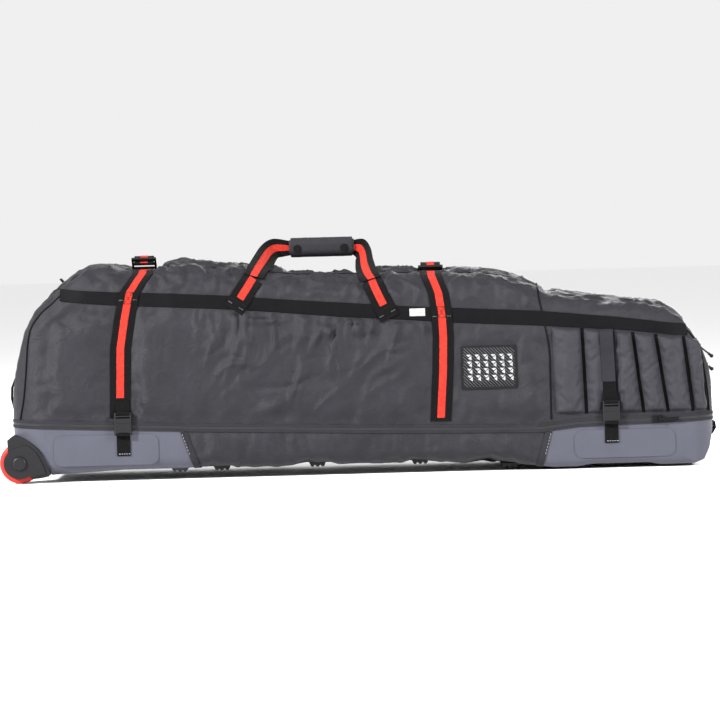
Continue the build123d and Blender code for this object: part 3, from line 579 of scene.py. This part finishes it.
def make_lid_cloth():
    """The lid's sewn cloth, swollen and wrinkled between its straps and seams."""
    columns, rows = lid_grid()
    count = len(columns)
    points = [column[i] for i in range(rows) for column in columns]
    faces = grid_faces(rows, count, True)
    piece = new_piece("lid_cloth", points, faces, SATIN, None, "satin_cloth")
    reworked(piece, lambda mesh: bmesh.ops.remove_doubles(mesh, verts=mesh.verts, dist=0.0004))
    holds = {i: hold_at(vertex.co) for i, vertex in enumerate(piece.data.vertices)}
    simulate(piece, holds, 2.2, 0.035, 0.008, 0.003, 20)
    pushed(finer(piece), lambda i, place: folds(place) * (1 - hold_at(place)) + 0.0004)
    walled(piece, CLOTH_THICK, LINING)
    soft_goods(piece, "lid", 0.5, *LID_PANELS)
    make_head_liner(columns, rows)


def make_head_liner(columns, rows):
    """The quilted foam that lines the padded head, in diamonds, under the lid's cloth."""
    keep = [j for j, column in enumerate(columns) if column[0].x > BODY_HEAD_SEAM + 0.004]
    start = next(k for k, j in enumerate(keep) if k and j != keep[k - 1] + 1)
    order = keep[start:] + keep[:start]
    low_row, count = 2, len(order)
    points = []
    for i in range(low_row, rows):
        for j in order:
            point = columns[j][i]
            heart = Vector((min(point.x, HEAD_END - SPINE_INSET), 0, along(SEAM, point.x)))
            way = (point - heart).normalized()
            around = point.z - abs(point.y)
            waves = math.sin((point.x + around) * 55) * math.sin((point.x - around) * 55)
            points.append(point - way * (0.0095 + 0.0028 * abs(waves) ** 0.4))
    piece = new_piece("head_liner", points, grid_faces(rows - low_row, count), FOAM, None, "foam")
    for polygon in piece.data.polygons:
        polygon.flip()
    walled(piece, 0.0045)
    soft_goods(piece, "lid", 0.8, "head_foam")


# ---- base cloth
# The shells' slanted edges, (z, x)
TROUGH_START = [(0.000, -0.2959), (0.018, -0.302), (0.105, -0.3317)]
TROUGH_END = [(0.000, 0.3259), (0.088, 0.350)]
SKIDS = (-0.259, -0.082, 0.108, 0.274)


def make_base_cloth():
    """The soft trough between the shells, slack between its bindings and its skid bars."""
    tree = tree_of("base_fabric")
    count, rows = 80, 62
    columns = []
    for j in range(count):
        share = j / (count - 1)
        path = []
        z = 0.09
        for k in range(241):
            angle = math.radians(180 * k / 240)
            for _ in range(2):
                low, high = along(TROUGH_START, z), along(TROUGH_END, z)
                x = low + 0.001 + (high - low - 0.002) * share
                heart = Vector((x, 0, along(SEAM, x) - SEAM_EDGE - SEWN_REACH))
                way = Vector((0, -math.cos(angle), -math.sin(angle)))
                hit = tree.ray_cast(heart + way * 0.6, -way)[0]
                if hit is None:
                    hit = tree.find_nearest(path[-1] if path else heart + way * HALF_WIDTH)[0]
                z = hit.z
            path.append(hit)
        columns.append(evenly(path, rows))
    points = [column[i] for i in range(rows) for column in columns]
    faces = [face[::-1] for face in grid_faces(rows, count)]
    piece = new_piece("base_cloth", points, faces, SATIN, None, "satin_cloth")
    pinned = {}
    for i, (x, y, z) in enumerate(points):
        rim = min(x - along(TROUGH_START, z), along(TROUGH_END, z) - x)
        hold = max(1 - smooth(0.006, 0.02, rim), 1 - smooth(0.008, 0.018, along(SEAM, x) - z))
        if abs(y) < 0.14 and z < 0.05:
            hold = max(hold, *[near(x - bar, 0.014, 0.026) for bar in SKIDS])
        pinned[i] = hold
    simulate(piece, pinned, 1.2, 0.03, 0.005, 0.003, 16)

    def slack(i, _):
        x, y, z = points[i]
        lean = wavy(x * 20 + z * 9, z * 12, 6.6 + y * 4)
        broad = wavy(x * 9, z * 8 + y * 6, 2.6)
        return (0.0032 * ridged(lean) + 0.0016 * broad) * (1 - pinned[i])

    pushed(piece, slack)
    walled(finer(piece), CLOTH_THICK, LINING)
    soft_goods(piece, "base", 0.3, "base_fabric")


# ---- ribs
RIB_TOPS = [0.353, 0.411, 0.460, 0.504, 0.546, 0.597, 0.628]
RIB_FEET = [0.357, 0.416, 0.472, 0.521, 0.566, 0.612, 0.640]
RIB_TOP_Z, RIB_FOOT_Z = (0.262, 0.233), 0.1035
RIB_GAP = 0.0025  # from a rib's edge to the middle of its channel
BUCKLE_X = {"wheel": -0.437, "head": 0.461}


def rib_top(i):
    """Height of the ribs' upper end at their seam number i."""
    return RIB_TOP_Z[0] + (RIB_TOP_Z[1] - RIB_TOP_Z[0]) * i / 6


def rib_height(x, z, u, v):
    """How far a rib swells off the lid, less under the buckle and its strap."""
    crown = (1 - abs(2 * u - 1) ** 2) ** 0.55 * (1 - abs(2 * v - 1) ** 14) ** 0.6
    tall = 0.0125 - 0.0068 * near(x - 0.459, 0.013, 0.024)
    in_room = near(x - BUCKLE_X["head"], 0.020, 0.028) * (1 - smooth(0.134, 0.146, z))
    return crown * (tall - 0.0045 * in_room)


def make_ribs(tree):
    """Six stuffed ribs on each side of the head, swollen by simulation between their seams."""
    across, up = 13, 40
    points, faces, pinned = [], [], {}
    for side in (NEAR, FAR):
        for i in range(6):
            top, after = rib_top(i), rib_top(i + 1)
            front, back = [], []
            for a in range(up):
                v = a / (up - 1)
                for b in range(across):
                    u = b / (across - 1)
                    foot_x, top_x = (
                        ends[i] + RIB_GAP + (ends[i + 1] - ends[i] - 2 * RIB_GAP) * u
                        for ends in (RIB_FEET, RIB_TOPS)
                    )
                    z = RIB_FOOT_Z + (top + (after - top) * u - RIB_FOOT_Z) * v
                    x = foot_x + (top_x - foot_x) * v
                    base = on_side(tree, x, z, side)
                    out = plan_face(x, side)[1]
                    front.append(base + out * (rib_height(x, z, u, v) + 0.0003))
                    back.append(base - out * 0.0006)
            start, size = len(points), across * up
            points += front + back
            skin = []
            for face in grid_faces(up, across):
                skin += [face, [size + k for k in reversed(face)]]
            ring = [*range(across)] + [a * across + across - 1 for a in range(1, up)]
            ring += [(up - 1) * across + b for b in range(across - 2, -1, -1)]
            ring += [a * across for a in range(up - 2, 0, -1)]
            skin += [(k, size + k, size + m, m) for k, m in zip(ring, ring[1:] + ring[:1])]
            faces += shifted(skin if side == NEAR else [face[::-1] for face in skin], start)
            for k in (*ring, *range(size, 2 * size)):
                pinned[start + k] = 1.0
    piece = new_piece("padded_ribs", points, faces, LIT_RIB_SATIN, None, "satin_cloth")
    simulate(piece, pinned, 3.0, 0.05, 0.0016, 0.0022, 14)

    def pucker(i, place):
        x, y, z = place
        return 0 if i in pinned else 0.0006 * wavy(x * 30, z * 60, y * 5)

    pushed(piece, pucker)
    soft_goods(finer(piece), "lid", 0.75, "rib_pads")
    # Painted shade: a near-black strip in each channel between the ribs, where the gaps lie in
    # shadow
    for side, word in SIDES:
        for i in range(1, 7):
            rails = []
            for a in range(20):
                v = a / 19
                z = RIB_FOOT_Z - 0.002 + (rib_top(i) - RIB_FOOT_Z + 0.004) * v
                x = RIB_FEET[i] + (RIB_TOPS[i] - RIB_FEET[i]) * v
                half = 0.0032 if i < 6 else 0.0012
                rails.append([on_side(tree, edge, z, side) for edge in (x - half, x + half)])
            name = f"rib_channel_{word}_{i}"
            make_ribbon(name, rails, tree, 0.0002, 0.0008, SHADOW, "lid", "binding")


# ---- webbing
def make_ribbon(name, rails, tree, clear, thick, material, body, slot, lifts=None):
    """A flat strip between two rails, lifted clear of what lies under it.

    Returns the piece, its rails, the way up at each section and the height of its top there.
    """
    count = len(rails)
    ups, raw = [], []
    for i, (a, b) in enumerate(rails):
        before, after = rails[max(i - 1, 0)], rails[min(i + 1, count - 1)]
        way = (after[0] + after[1] - before[0] - before[1]).normalized()
        up = way.cross((b - a).normalized()).normalized()
        middle = (a + b) / 2
        if up.dot(middle - Vector((middle.x * 0.93, 0, 0.2))) < 0:
            up = -up
        ups.append(up)
        high = 0.0
        if tree and lifts is None:
            for k in range(7):
                spot = a.lerp(b, k / 6)
                hit = tree.ray_cast(spot + up * 0.03, -up, 0.05)[0]
                if hit:
                    high = max(high, (hit - spot).dot(up))
        raw.append(high)
    if lifts is None:
        wide = [max(raw[max(i - 1, 0) : i + 2]) for i in range(count)]
        lifts = []
        for i in range(count):
            around = wide[max(i - 2, 0) : i + 3]
            lifts.append(max(sum(around) / len(around), raw[i]) + clear)
    points = []
    for (a, b), up, lift in zip(rails, ups, lifts):
        inset = (b - a).normalized() * min(0.0006, thick * 0.4)
        low_a, low_b = a + up * lift, b + up * lift
        points += [low_a, low_a + up * thick * 0.6, low_a + inset + up * thick]
        points += [low_b - inset + up * thick, low_b + up * thick * 0.6, low_b]
    ends = [range(5, -1, -1), range(6 * count - 6, 6 * count)]
    faces = grid_faces(count, 6, True) + [tuple(end) for end in ends]
    piece = closed_piece(name, points, faces, material, body, slot)
    piece.data.set_sharp_from_angle(angle=math.radians(35))
    return piece, rails, ups, [lift + thick for lift in lifts]


def strap_rails(which, foot, tree):
    """Edges of a strap from its near foot, over the top, to its far foot."""
    spots = []
    z = foot
    for k in range(361):
        angle = math.radians(k / 2)
        way = Vector((0, -math.cos(angle), math.sin(angle)))
        for _ in range(2):
            x = strap_x(which, z)
            hearts = [Vector((edge, 0, 0.088)) for edge in (x - STRAP_WIDE / 2, x + STRAP_WIDE / 2)]
            pair = [tree.ray_cast(heart + way * 0.6, -way)[0] for heart in hearts]
            if None in pair:
                break
            z = (pair[0].z + pair[1].z) / 2
        if None not in pair and z >= foot:
            spots.append(pair)
        z = max(z, foot)
    count = int(sum(((b[0] - a[0]).length for a, b in zip(spots, spots[1:]))) / 0.006)
    return list(zip(*[evenly(edge, count) for edge in zip(*spots)]))


def side_rails(lines, side, tree):
    """Rails through pairs of (x, z) points on one side of the lid."""
    return [[on_side(tree, x, z, side) for x, z in pair] for pair in lines]


STITCH_FACES = grid_faces(4, 4, True) + [(3, 2, 1, 0), (12, 13, 14, 15)]


def stitch(points, faces, start, end, up, wide=0.0009, tall=0.0006):
    """Adds one stitch, a small rounded bar from start to end, to lists of points and faces."""
    way = (end - start).normalized()
    across = way.cross(up).normalized() * wide / 2
    first = len(points)
    for t, share in ((0, 0.4), (0.2, 1), (0.8, 1), (1, 0.4)):
        spot = start.lerp(end, t)
        points += [spot - across, spot - across * 0.5 + up * tall * share]
        points += [spot + across * 0.5 + up * tall * share, spot + across]
    faces += shifted(STITCH_FACES, first)


def at_ribbon(ribbon, s, w):
    """Point on top of a ribbon: s counts its sections, and w runs from -0.5 to 0.5 across it."""
    _, rails, ups, tops = ribbon
    i = min(max(int(s), 0), len(rails) - 2)
    low, high = (rails[k][0].lerp(rails[k][1], w + 0.5) + ups[k] * tops[k] for k in (i, i + 1))
    return low.lerp(high, s - i), ups[i]


def stitch_between(stitches, ribbon, start, end, wide=0.0009):
    """Adds a stitch on a ribbon from one (s, w) to another."""
    spot, up = at_ribbon(ribbon, *start)
    stitch(*stitches, spot, at_ribbon(ribbon, *end)[0], up, wide)


def section_at(ribbon, z, last=False):
    """Where along a ribbon its height is z, on the near side or, if last, on the far side."""
    rails = ribbon[1]
    order = range(len(rails) - 1)
    for i in reversed(order) if last else order:
        z0, z1 = rails[i][0].z, rails[i + 1][0].z
        if min(z0, z1) <= z <= max(z0, z1) and z0 != z1:
            return i + (z - z0) / (z1 - z0)
    return 0


def make_straps(tree):
    """Straps, side bands, handle tails and label, laid over the finished cloth, with stitches."""
    white, dark = ([], []), ([], [])
    places = [BAND_TOP[0][0] + 1.150 * k / 144 for k in range(145)]
    lines = [[(x, along(edge, x)) for edge in (BAND_TOP, BAND_FOOT)] for x in places]
    for side, word in SIDES:
        rails = side_rails(lines, side, tree)
        name = f"side_band_{word}"
        band = make_ribbon(name, rails, tree, RAISED, 0.0013, BAND, "lid", "binding")
        if side == NEAR:
            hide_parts("side_bands")
    joined = tree_of("lid_cloth", "side_band_near", "side_band_far")
    for side, word in SIDES:
        for i, (foot, top) in enumerate(TAILS):
            foot, top = Vector(foot), Vector(top)
            way = (top - foot).normalized()
            half = Vector((way.y, -way.x)) * STRAP_WIDE / 2
            middles = [foot.lerp(top, k / 14) for k in range(15)]
            lines = [(middle - half, middle + half) for middle in middles]
            rails = side_rails(lines, side, joined)
            name = f"handle_tail_{word}_{i}"
            tail = make_ribbon(name, rails, joined, RAISED, WEB, WEBBING, "lid", "webbing")
            if side == NEAR and i == 0:
                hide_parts("handle_tails")
            make_stripe(f"tail_stripe_{word}_{i}", tail, 4.2, 14, "lid")
            for w in (-0.40, -0.32, -0.24, 0.22, 0.30, 0.38):
                stitch_between(white, tail, (1.75, w), (2.0, w))
            for s in (0.6, 3.6):
                for w in range(-9, 9):
                    stitch_between(dark, tail, (s, w / 20), (s, (w + 0.7) / 20))
    for which, (foot, stripe_foot) in STRAP_FEET.items():
        rails = strap_rails(which, foot, joined)
        strap = make_ribbon(f"strap_{which}", rails, joined, RAISED, WEB, WEBBING, "lid", "webbing")
        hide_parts(f"strap_{which}_end")
        first, last = section_at(strap, stripe_foot), section_at(strap, stripe_foot, True)
        stripe = make_stripe(f"strap_stripe_{which}", strap, first, last, "lid")
        if which == "wheel":
            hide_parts("strap_stripes")
        for far in (False, True):
            low = along(BAND_FOOT, strap_x(which, 0.31))
            s0, s1 = (section_at(strap, low + above, far) for above in (0.002, 0.022))
            box_tack(dark, stripe, s0 - first, s1 - first)
            middle = (s0 + s1) / 2 - (0.4 if s1 > s0 else -0.4)
            for w in (-0.42, -0.35, -0.28, 0.26, 0.33, 0.40):
                stitch_between(white, strap, (middle, w), (middle + 0.15, w))
    (x0, z0), (x1, z1) = LABEL_CORNERS
    lines = [[(x0 + (x1 - x0) * k / 6, z) for z in (z1, z0)] for k in range(7)]
    rails = side_rails(lines, NEAR, joined)
    label = make_ribbon("plain_label", rails, joined, 0.0002, 0.0006, LABEL, "lid", "label")
    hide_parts("blank_label")
    over = tree_of("lid_cloth", "padded_ribs", "buckle_straps")
    lines = []
    for k in range(22):
        x, z = 0.4545 + 0.0030 * k / 21, 0.2545 - 0.0945 * k / 21
        lines.append(((x - 0.0125, z), (x + 0.0125, z)))
    rails = side_rails(lines, NEAR, over)
    make_ribbon("rib_strap_sleeve_near", rails, over, 0.0001, 0.0009, BINDING, "lid", "binding")
    closed_piece("white_stitches", *white, WHITE, "lid", "label")
    closed_piece("dark_stitches", *dark, DARK_THREAD, "lid", "webbing")


LOCK_LIFT = 0.0058  # from the foot of a lock's box to its webbing


def make_lock_webbing():
    """The strap's doubled end, threaded through each ladder lock, with its stripe."""
    for which in ("wheel", "head"):
        body = f"lock_{which}_end"
        low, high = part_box("ladder_" + body)
        middle = (low.x + high.x) / 2
        steep = (high.z - low.z) / (high.y - low.y)
        for kind, wide, thick, material, shift in (
            ("webbing", 0.0365, WEB, WEBBING, 0.0),
            ("stripe", STRIPE_WIDE, 0.0006, STRIPE, WEB),
        ):
            rails = []
            for k in range(9):
                t = k / 8
                y = low.y + 0.006 + (high.y - low.y - 0.012) * t
                z = low.z + LOCK_LIFT + (y - low.y) * steep + 0.0018 * math.sin(t * math.pi) + shift
                rails.append([Vector((middle + half, y, z)) for half in (-wide / 2, wide / 2)])
            make_ribbon(f"lock_{kind}_{which}", rails, None, 0, thick, material, body, kind)


def make_stripe(name, ribbon, first, last, body):
    """A coloured tape sewn along the middle of a webbing, between two of its sections."""
    _, rails, ups, tops = ribbon
    share = STRIPE_WIDE / STRAP_WIDE / 2
    low, high = math.ceil(first), min(math.floor(last), len(rails) - 1)
    picked = [[a.lerp(b, t) for t in (0.5 - share, 0.5 + share)] for a, b in rails[low : high + 1]]
    return make_ribbon(name, picked, None, 0, 0.0008, STRIPE, body, "stripe", tops[low : high + 1])


def box_tack(dark, ribbon, s0, s1):
    """A sewn box with a cross in it."""
    a, b, c, d = (s0, -0.46), (s0, 0.46), (s1, 0.46), (s1, -0.46)
    for (sa, wa), (sb, wb) in ((a, b), (b, c), (c, d), (d, a), (a, c), (b, d)):
        for k in range(6):
            ends = [(sa + (sb - sa) * t, wa + (wb - wa) * t) for t in (k / 6, (k + 0.8) / 6)]
            stitch_between(dark, ribbon, *ends, 0.0010)


# ---- carry handle
# Middle lines of the handle's legs, (x, z), from the lid up to the grip, and how far out they are
LEGS = {
    "left": [(-0.190, 0.370), (-0.184, 0.381), (-0.175, 0.396), (-0.164, 0.413)],
    "right": [(0.027, 0.3594), (0.020, 0.370), (0.015, 0.386), (0.013, 0.404)],
}
LEGS["left"] += [(-0.150, 0.421), (-0.1215, 0.420)]
LEGS["right"] += [(0.008, 0.416), (-0.0085, 0.419)]
LEG_OUT = (0.1512, 0.136, 0.092, 0.040, 0.012, 0.006)
# The way across a leg's webbing, at the same places
LEG_TURN = [(1, -0.3, -0.3), (1, -0.25, -0.35), (0.9, 0, -0.5), (0.75, 0, -0.65)]
LEG_TURN += [(0.4, 0, -0.9), (0, 0, -1)]
LEG_SECTIONS = 44


def curve_through(points, count):
    """Points of a smooth curve that passes through every point given."""
    out = []
    spans = len(points) - 1
    for k in range(count):
        t = spans * k / (count - 1)
        i = min(int(t), spans - 1)
        t -= i
        p = [points[min(max(i + d, 0), spans)] for d in (-1, 0, 1, 2)]
        a = p[1] * 2
        b = (p[2] - p[0]) * t
        c = (p[0] * 2 - p[1] * 5 + p[2] * 4 - p[3]) * t**2
        d = (p[1] * 3 - p[0] - p[2] * 3 + p[3]) * t**3
        out.append((a + b + c + d) / 2)
    return out


def make_handle_legs():
    """The handle's free webbing: four legs that twist from the lid's shoulders up to the grip."""
    for side, word in SIDES:
        legs, stripes = [], []
        for end, path in LEGS.items():
            flip = -1 if end == "right" else 1
            middle = [Vector((x, side * out, z)) for (x, z), out in zip(path, LEG_OUT)]
            turns = [Vector((x, -side * y * flip, z * flip)) for x, y, z in LEG_TURN]
            middle, turns = (curve_through(line, LEG_SECTIONS) for line in (middle, turns))
            rails = []
            for k, (point, turn) in enumerate(zip(middle, turns)):
                pinch = 1 - 0.30 * smooth(34, LEG_SECTIONS - 1, k)
                half = turn.normalized() * STRAP_WIDE / 2 * pinch
                rails.append((point - half, point + half))
            leg = make_ribbon(f"leg_{end}", rails, None, 0, WEB, WEBBING, None, "webbing")
            stripe = make_stripe(f"leg_stripe_{end}", leg, 0, LEG_SECTIONS - 1, None)
            legs.append(leg[0])
            stripes.append(stripe[0])
        webbing = join_pieces(f"handle_webbing_{word}", legs)
        stripe = join_pieces(f"handle_webbing_stripes_{word}", stripes)
        for piece in (webbing, stripe):
            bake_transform(piece)
        if side == NEAR:
            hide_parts("handle_legs")


def join_pieces(name, pieces):
    """Makes several loose pieces one mesh."""
    mesh = bmesh.new()
    for piece in pieces:
        mesh.from_mesh(piece.data)
    data = bpy.data.meshes.new(name)
    mesh.to_mesh(data)
    mesh.free()
    data.materials.append(pieces[0].data.materials[0])
    for piece in pieces:
        bpy.data.objects.remove(piece)
    whole = add_object(name, data)
    return whole


def softened(name, node, body, slot, voxel, puff, crease_scale=60):
    """A padded copy of a CAD node: remeshed, its edges rounded, swollen a little and creased."""
    piece = add_object(name, frame["nodes"][node].data.copy())
    piece.data.materials.clear()
    piece.data.materials.append(BY_SLOT[slot])
    remesh = piece.modifiers.new("remesh", "REMESH")
    remesh.mode = "VOXEL"
    remesh.voxel_size = voxel
    applied(piece)
    round_off = piece.modifiers.new("round", "SMOOTH")
    round_off.factor = 0.5
    round_off.iterations = 6
    applied(piece)

    def swell(_, place):
        wave = noise.noise(place * crease_scale)
        small = noise.noise(place * crease_scale * 2.7)
        return puff * (0.5 + 0.6 * wave + 0.25 * small)

    pushed(piece, swell)
    for polygon in piece.data.polygons:
        polygon.use_smooth = True
    soft_goods(piece, body, 0.7, node)


# ---- piping, patch and other trim
def piping(name, path, radius):
    """A thin round cord sewn into a seam, along a smooth path."""
    curve = bpy.data.curves.new(name, "CURVE")
    curve.dimensions = "3D"
    curve.bevel_depth = radius
    curve.bevel_resolution = 2
    curve.use_fill_caps = True
    spline = curve.splines.new("POLY")
    spline.points.add(len(path) - 1)
    for spot, point in zip(path, spline.points):
        point.co = (*spot, 1)
    holder = add_object(name + "_line", curve)
    graph = bpy.context.evaluated_depsgraph_get()
    mesh = bpy.data.meshes.new_from_object(holder.evaluated_get(graph))
    bpy.data.objects.remove(holder)
    mesh.materials.clear()
    mesh.materials.append(BAND)
    for polygon in mesh.polygons:
        polygon.use_smooth = True
    piece = add_object(name, mesh)
    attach(piece, "lid")


def make_piping(tree):
    """Piping in the seams of the end panels, round the head and along the top panel."""
    wheel = [(-0.546, 0.345), (-0.566, 0.327), (-0.584, 0.312), (-0.600, 0.291)]
    wheel += [(-0.608, 0.260), (-0.612, 0.220), (-0.616, 0.180), (-0.621, 0.145), (-0.627, 0.118)]
    head = [(0.606, 0.250), (0.618, 0.236), (0.628, 0.215), (0.636, 0.170)]
    head += [(0.641, 0.130), (0.643, 0.100)]
    for side, word in SIDES:
        for label, line in (("wheel", wheel), ("head", head)):
            path = []
            for x, z in curve_through([Vector(place) for place in line], 60):
                path.append(on_side(tree, x, z, side) + plan_face(x, side)[1] * 0.0008)
            piping(f"piping_{label}_{word}", path, 0.0016)
        path = []
        for k in range(150):
            x = -0.585 + 0.915 * k / 149
            hit = tree.ray_cast(Vector((x, side * TOP_SEAM_Y, 0.6)), Vector((0, 0, -1)))[0]
            path.append(hit + Vector((0, 0, 0.0002)))
        piping(f"top_seam_{word}", path, 0.0009)
    path = []
    z = 0.09
    for k in range(3, 178):
        angle = math.radians(k)
        way = Vector((0, -math.cos(angle), math.sin(angle)))
        x = BODY_HEAD_SEAM - 0.018 * smooth(0.20, 0.33, z)
        hit = tree.ray_cast(Vector((x, 0, 0.084)) + way * 0.6, -way)[0]
        if hit and hit.z > along(SEAM, x) + 0.011:
            path.append(hit + way * 0.0006)
            z = hit.z
    piping("piping_head_seam", path, 0.0015)


VENT_TRIANGLES = (
    [(-0.0046, 0.0052), (0.0044, 0.0052), (0.0, 0.0006)],
    [(0.0050, 0.0034), (0.0050, -0.0052), (-0.0006, -0.0018)],
)
PRISM_FACES = [(0, 1, 2), (3, 5, 4), (0, 3, 4, 1), (1, 4, 5, 2), (2, 5, 3, 0)]


def make_vent():
    """The vent patch: slanting cords and rows of small white triangles over its mesh."""
    low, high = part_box("vent_patch")
    face = low.y - 0.0001
    points, faces = [], []
    up = Vector((0, -1, 0))
    for k in range(-14, 18):
        x = low.x + 0.006 * k
        start = Vector((x, face, high.z - 0.004))
        end = Vector((x + 0.072, face, low.z + 0.005))
        steps = [start.lerp(end, i / 40) for i in range(41)]
        inside = [p for p in steps if low.x + 0.004 < p.x < high.x - 0.004]
        if len(inside) > 3:
            stitch(points, faces, inside[0], inside[-1], up, 0.0011, 0.0005)
    closed_piece("vent_cords", points, faces, MESH_CORD, "lid", "patch")
    points, faces = [], []
    for column in range(6):
        for row in range(4):
            x = low.x + 0.0145 + 0.0150 * column + 0.0005 * row
            z = high.z - 0.0215 - 0.0128 * row
            for triangle in VENT_TRIANGLES:
                first = len(points)
                for depth in (0.0002, 0.0011):
                    points += [Vector((x + a, face - depth, z + b)) for a, b in triangle]
                faces += shifted(PRISM_FACES, first)
    closed_piece("vent_triangles", points, faces, WHITE, "lid", "label", False)
    corners = [(low.x, low.z), (high.x, low.z), (high.x, high.z), (low.x, high.z)]
    corners = [Vector((x, face, z)) for x, z in corners]
    points, faces = [], []
    for corner, after in zip(corners, corners[1:] + corners[:1]):
        way = (after - corner).normalized()
        inward = Vector((-way.z, 0, way.x)) * 0.002
        for k in range(int((after - corner).length / 0.004) - 1):
            start = corner + inward + way * (0.003 + 0.004 * k)
            stitch(points, faces, start, start + way * 0.0028, up)
    closed_piece("vent_edge_stitches", points, faces, DARK_THREAD, "lid", "patch")


def make_shell_stitches():
    """White thread along both slanted edges of the shells, on both sides of the base."""
    points, faces = [], []
    for (x0, z0), (x1, z1), shift in (
        ((-0.302, 0.018), (-0.330, 0.100), -0.0048),
        ((0.327, 0.004), (0.350, 0.088), 0.0048),
    ):
        way = Vector((x1 - x0, 0, z1 - z0)).normalized()
        for side in (NEAR, FAR):
            for k in range(9):
                at = Vector((x0, 0, z0)) + way * (0.030 + 0.006 * k - (0 if x0 < 0 else 0.004))
                if at.z > along(SEAM, at.x) - 0.014:
                    continue
                at.x += shift
                at.y = side * (HALF_WIDTH + 0.0016)
                stitch(points, faces, at, at + way * 0.0032, Vector((0, side, 0)), 0.0009)
    closed_piece("shell_edge_stitches", points, faces, WHITE, "base", "label")
    points, faces = [], []
    for x in BUCKLE_X.values():
        for k in range(5):
            at = Vector((x - 0.009 + 0.0045 * k, -HALF_WIDTH - 0.0037, 0.0505))
            stitch(points, faces, at, at + Vector((0.003, 0, 0)), Vector((0, -1, 0)), 0.001)
    closed_piece("anchor_stitches", points, faces, WHITE, "base", "label")


# ---- camera, floor and light
VIEW_MIDDLE = Vector((0.0017, -HALF_WIDTH, 0.2115))
VIEW_WIDE = 1.324  # how much of the near side's plane the picture shows


def set_camera_and_lights():
    """Long lens from the near side, rolled a little, with a pale floor and soft studio light."""
    distance, rise, roll = 7.0, math.radians(1.8), math.radians(-1.55)
    camera = add_object("camera", bpy.data.cameras.new("camera"))
    camera.data.sensor_width = 36
    camera.data.lens = 36 * distance / VIEW_WIDE
    camera.data.clip_end = 60
    back = Vector((0, -math.cos(rise), math.sin(rise)))
    camera.location = VIEW_MIDDLE + back * distance
    camera.rotation_mode = "QUATERNION"
    camera.rotation_quaternion = (-back).to_track_quat("-Z", "Y") @ Quaternion((0, 0, 1), roll)
    bpy.context.scene.camera = camera

    floor = add_object("floor", bpy.data.meshes.new("floor"))
    corners = [(-40, -40, 0), (40, -40, 0), (40, 40, 0), (-40, 40, 0)]
    floor.data.from_pydata(corners, [], [(0, 1, 2, 3)])
    floor.data.materials.append(new_material("floor", (0.94, 0.94, 0.94), 0.9)[0])
    floor.location.z = -0.0004

    for name, place, size, power in (
        ("key", (-4.4, -3.5, 3.0), 0.8, 900),
        ("fill", (3.0, -2.4, 1.8), 0.9, 200),
        ("top", (0.0, 0.0, 3.2), 1.8, 10),
        ("rear", (0.8, 3.4, 1.0), 2.0, 70),
    ):
        lamp = bpy.data.lights.new(name, "AREA")
        lamp.size = size
        lamp.energy = power
        holder = add_object(name, lamp)
        holder.location = place
        holder.rotation_mode = "QUATERNION"
        holder.rotation_quaternion = (Vector((0, 0, 0.2)) - Vector(place)).to_track_quat("-Z", "Y")
    world = bpy.data.worlds.new("world")
    bpy.context.scene.world = world
    world.use_nodes = True
    sky = world.node_tree.nodes["Background"]
    sky.inputs["Color"].default_value = (1, 1, 1, 1)
    sky.inputs["Strength"].default_value = 0.87
    bpy.context.scene.view_settings.view_transform = "Standard"


finish_cad_nodes()
make_lid_cloth()
lid_tree = tree_of("lid_cloth")
make_base_cloth()
make_ribs(lid_tree)
make_straps(lid_tree)
make_lock_webbing()
make_handle_legs()
softened("grip_wrap", "grip_sleeve", "handle", "grip_cloth", 0.0011, 0.0006)
softened("grip_wrap_flap", "grip_flap", "grip_flap", "grip_cloth", 0.0011, 0.0001)
softened("floor_pad", "head_floor_pad", "base", "foam", 0.004, 0.002, 18)
make_piping(lid_tree)
make_vent()
make_shell_stitches()
set_camera_and_lights()
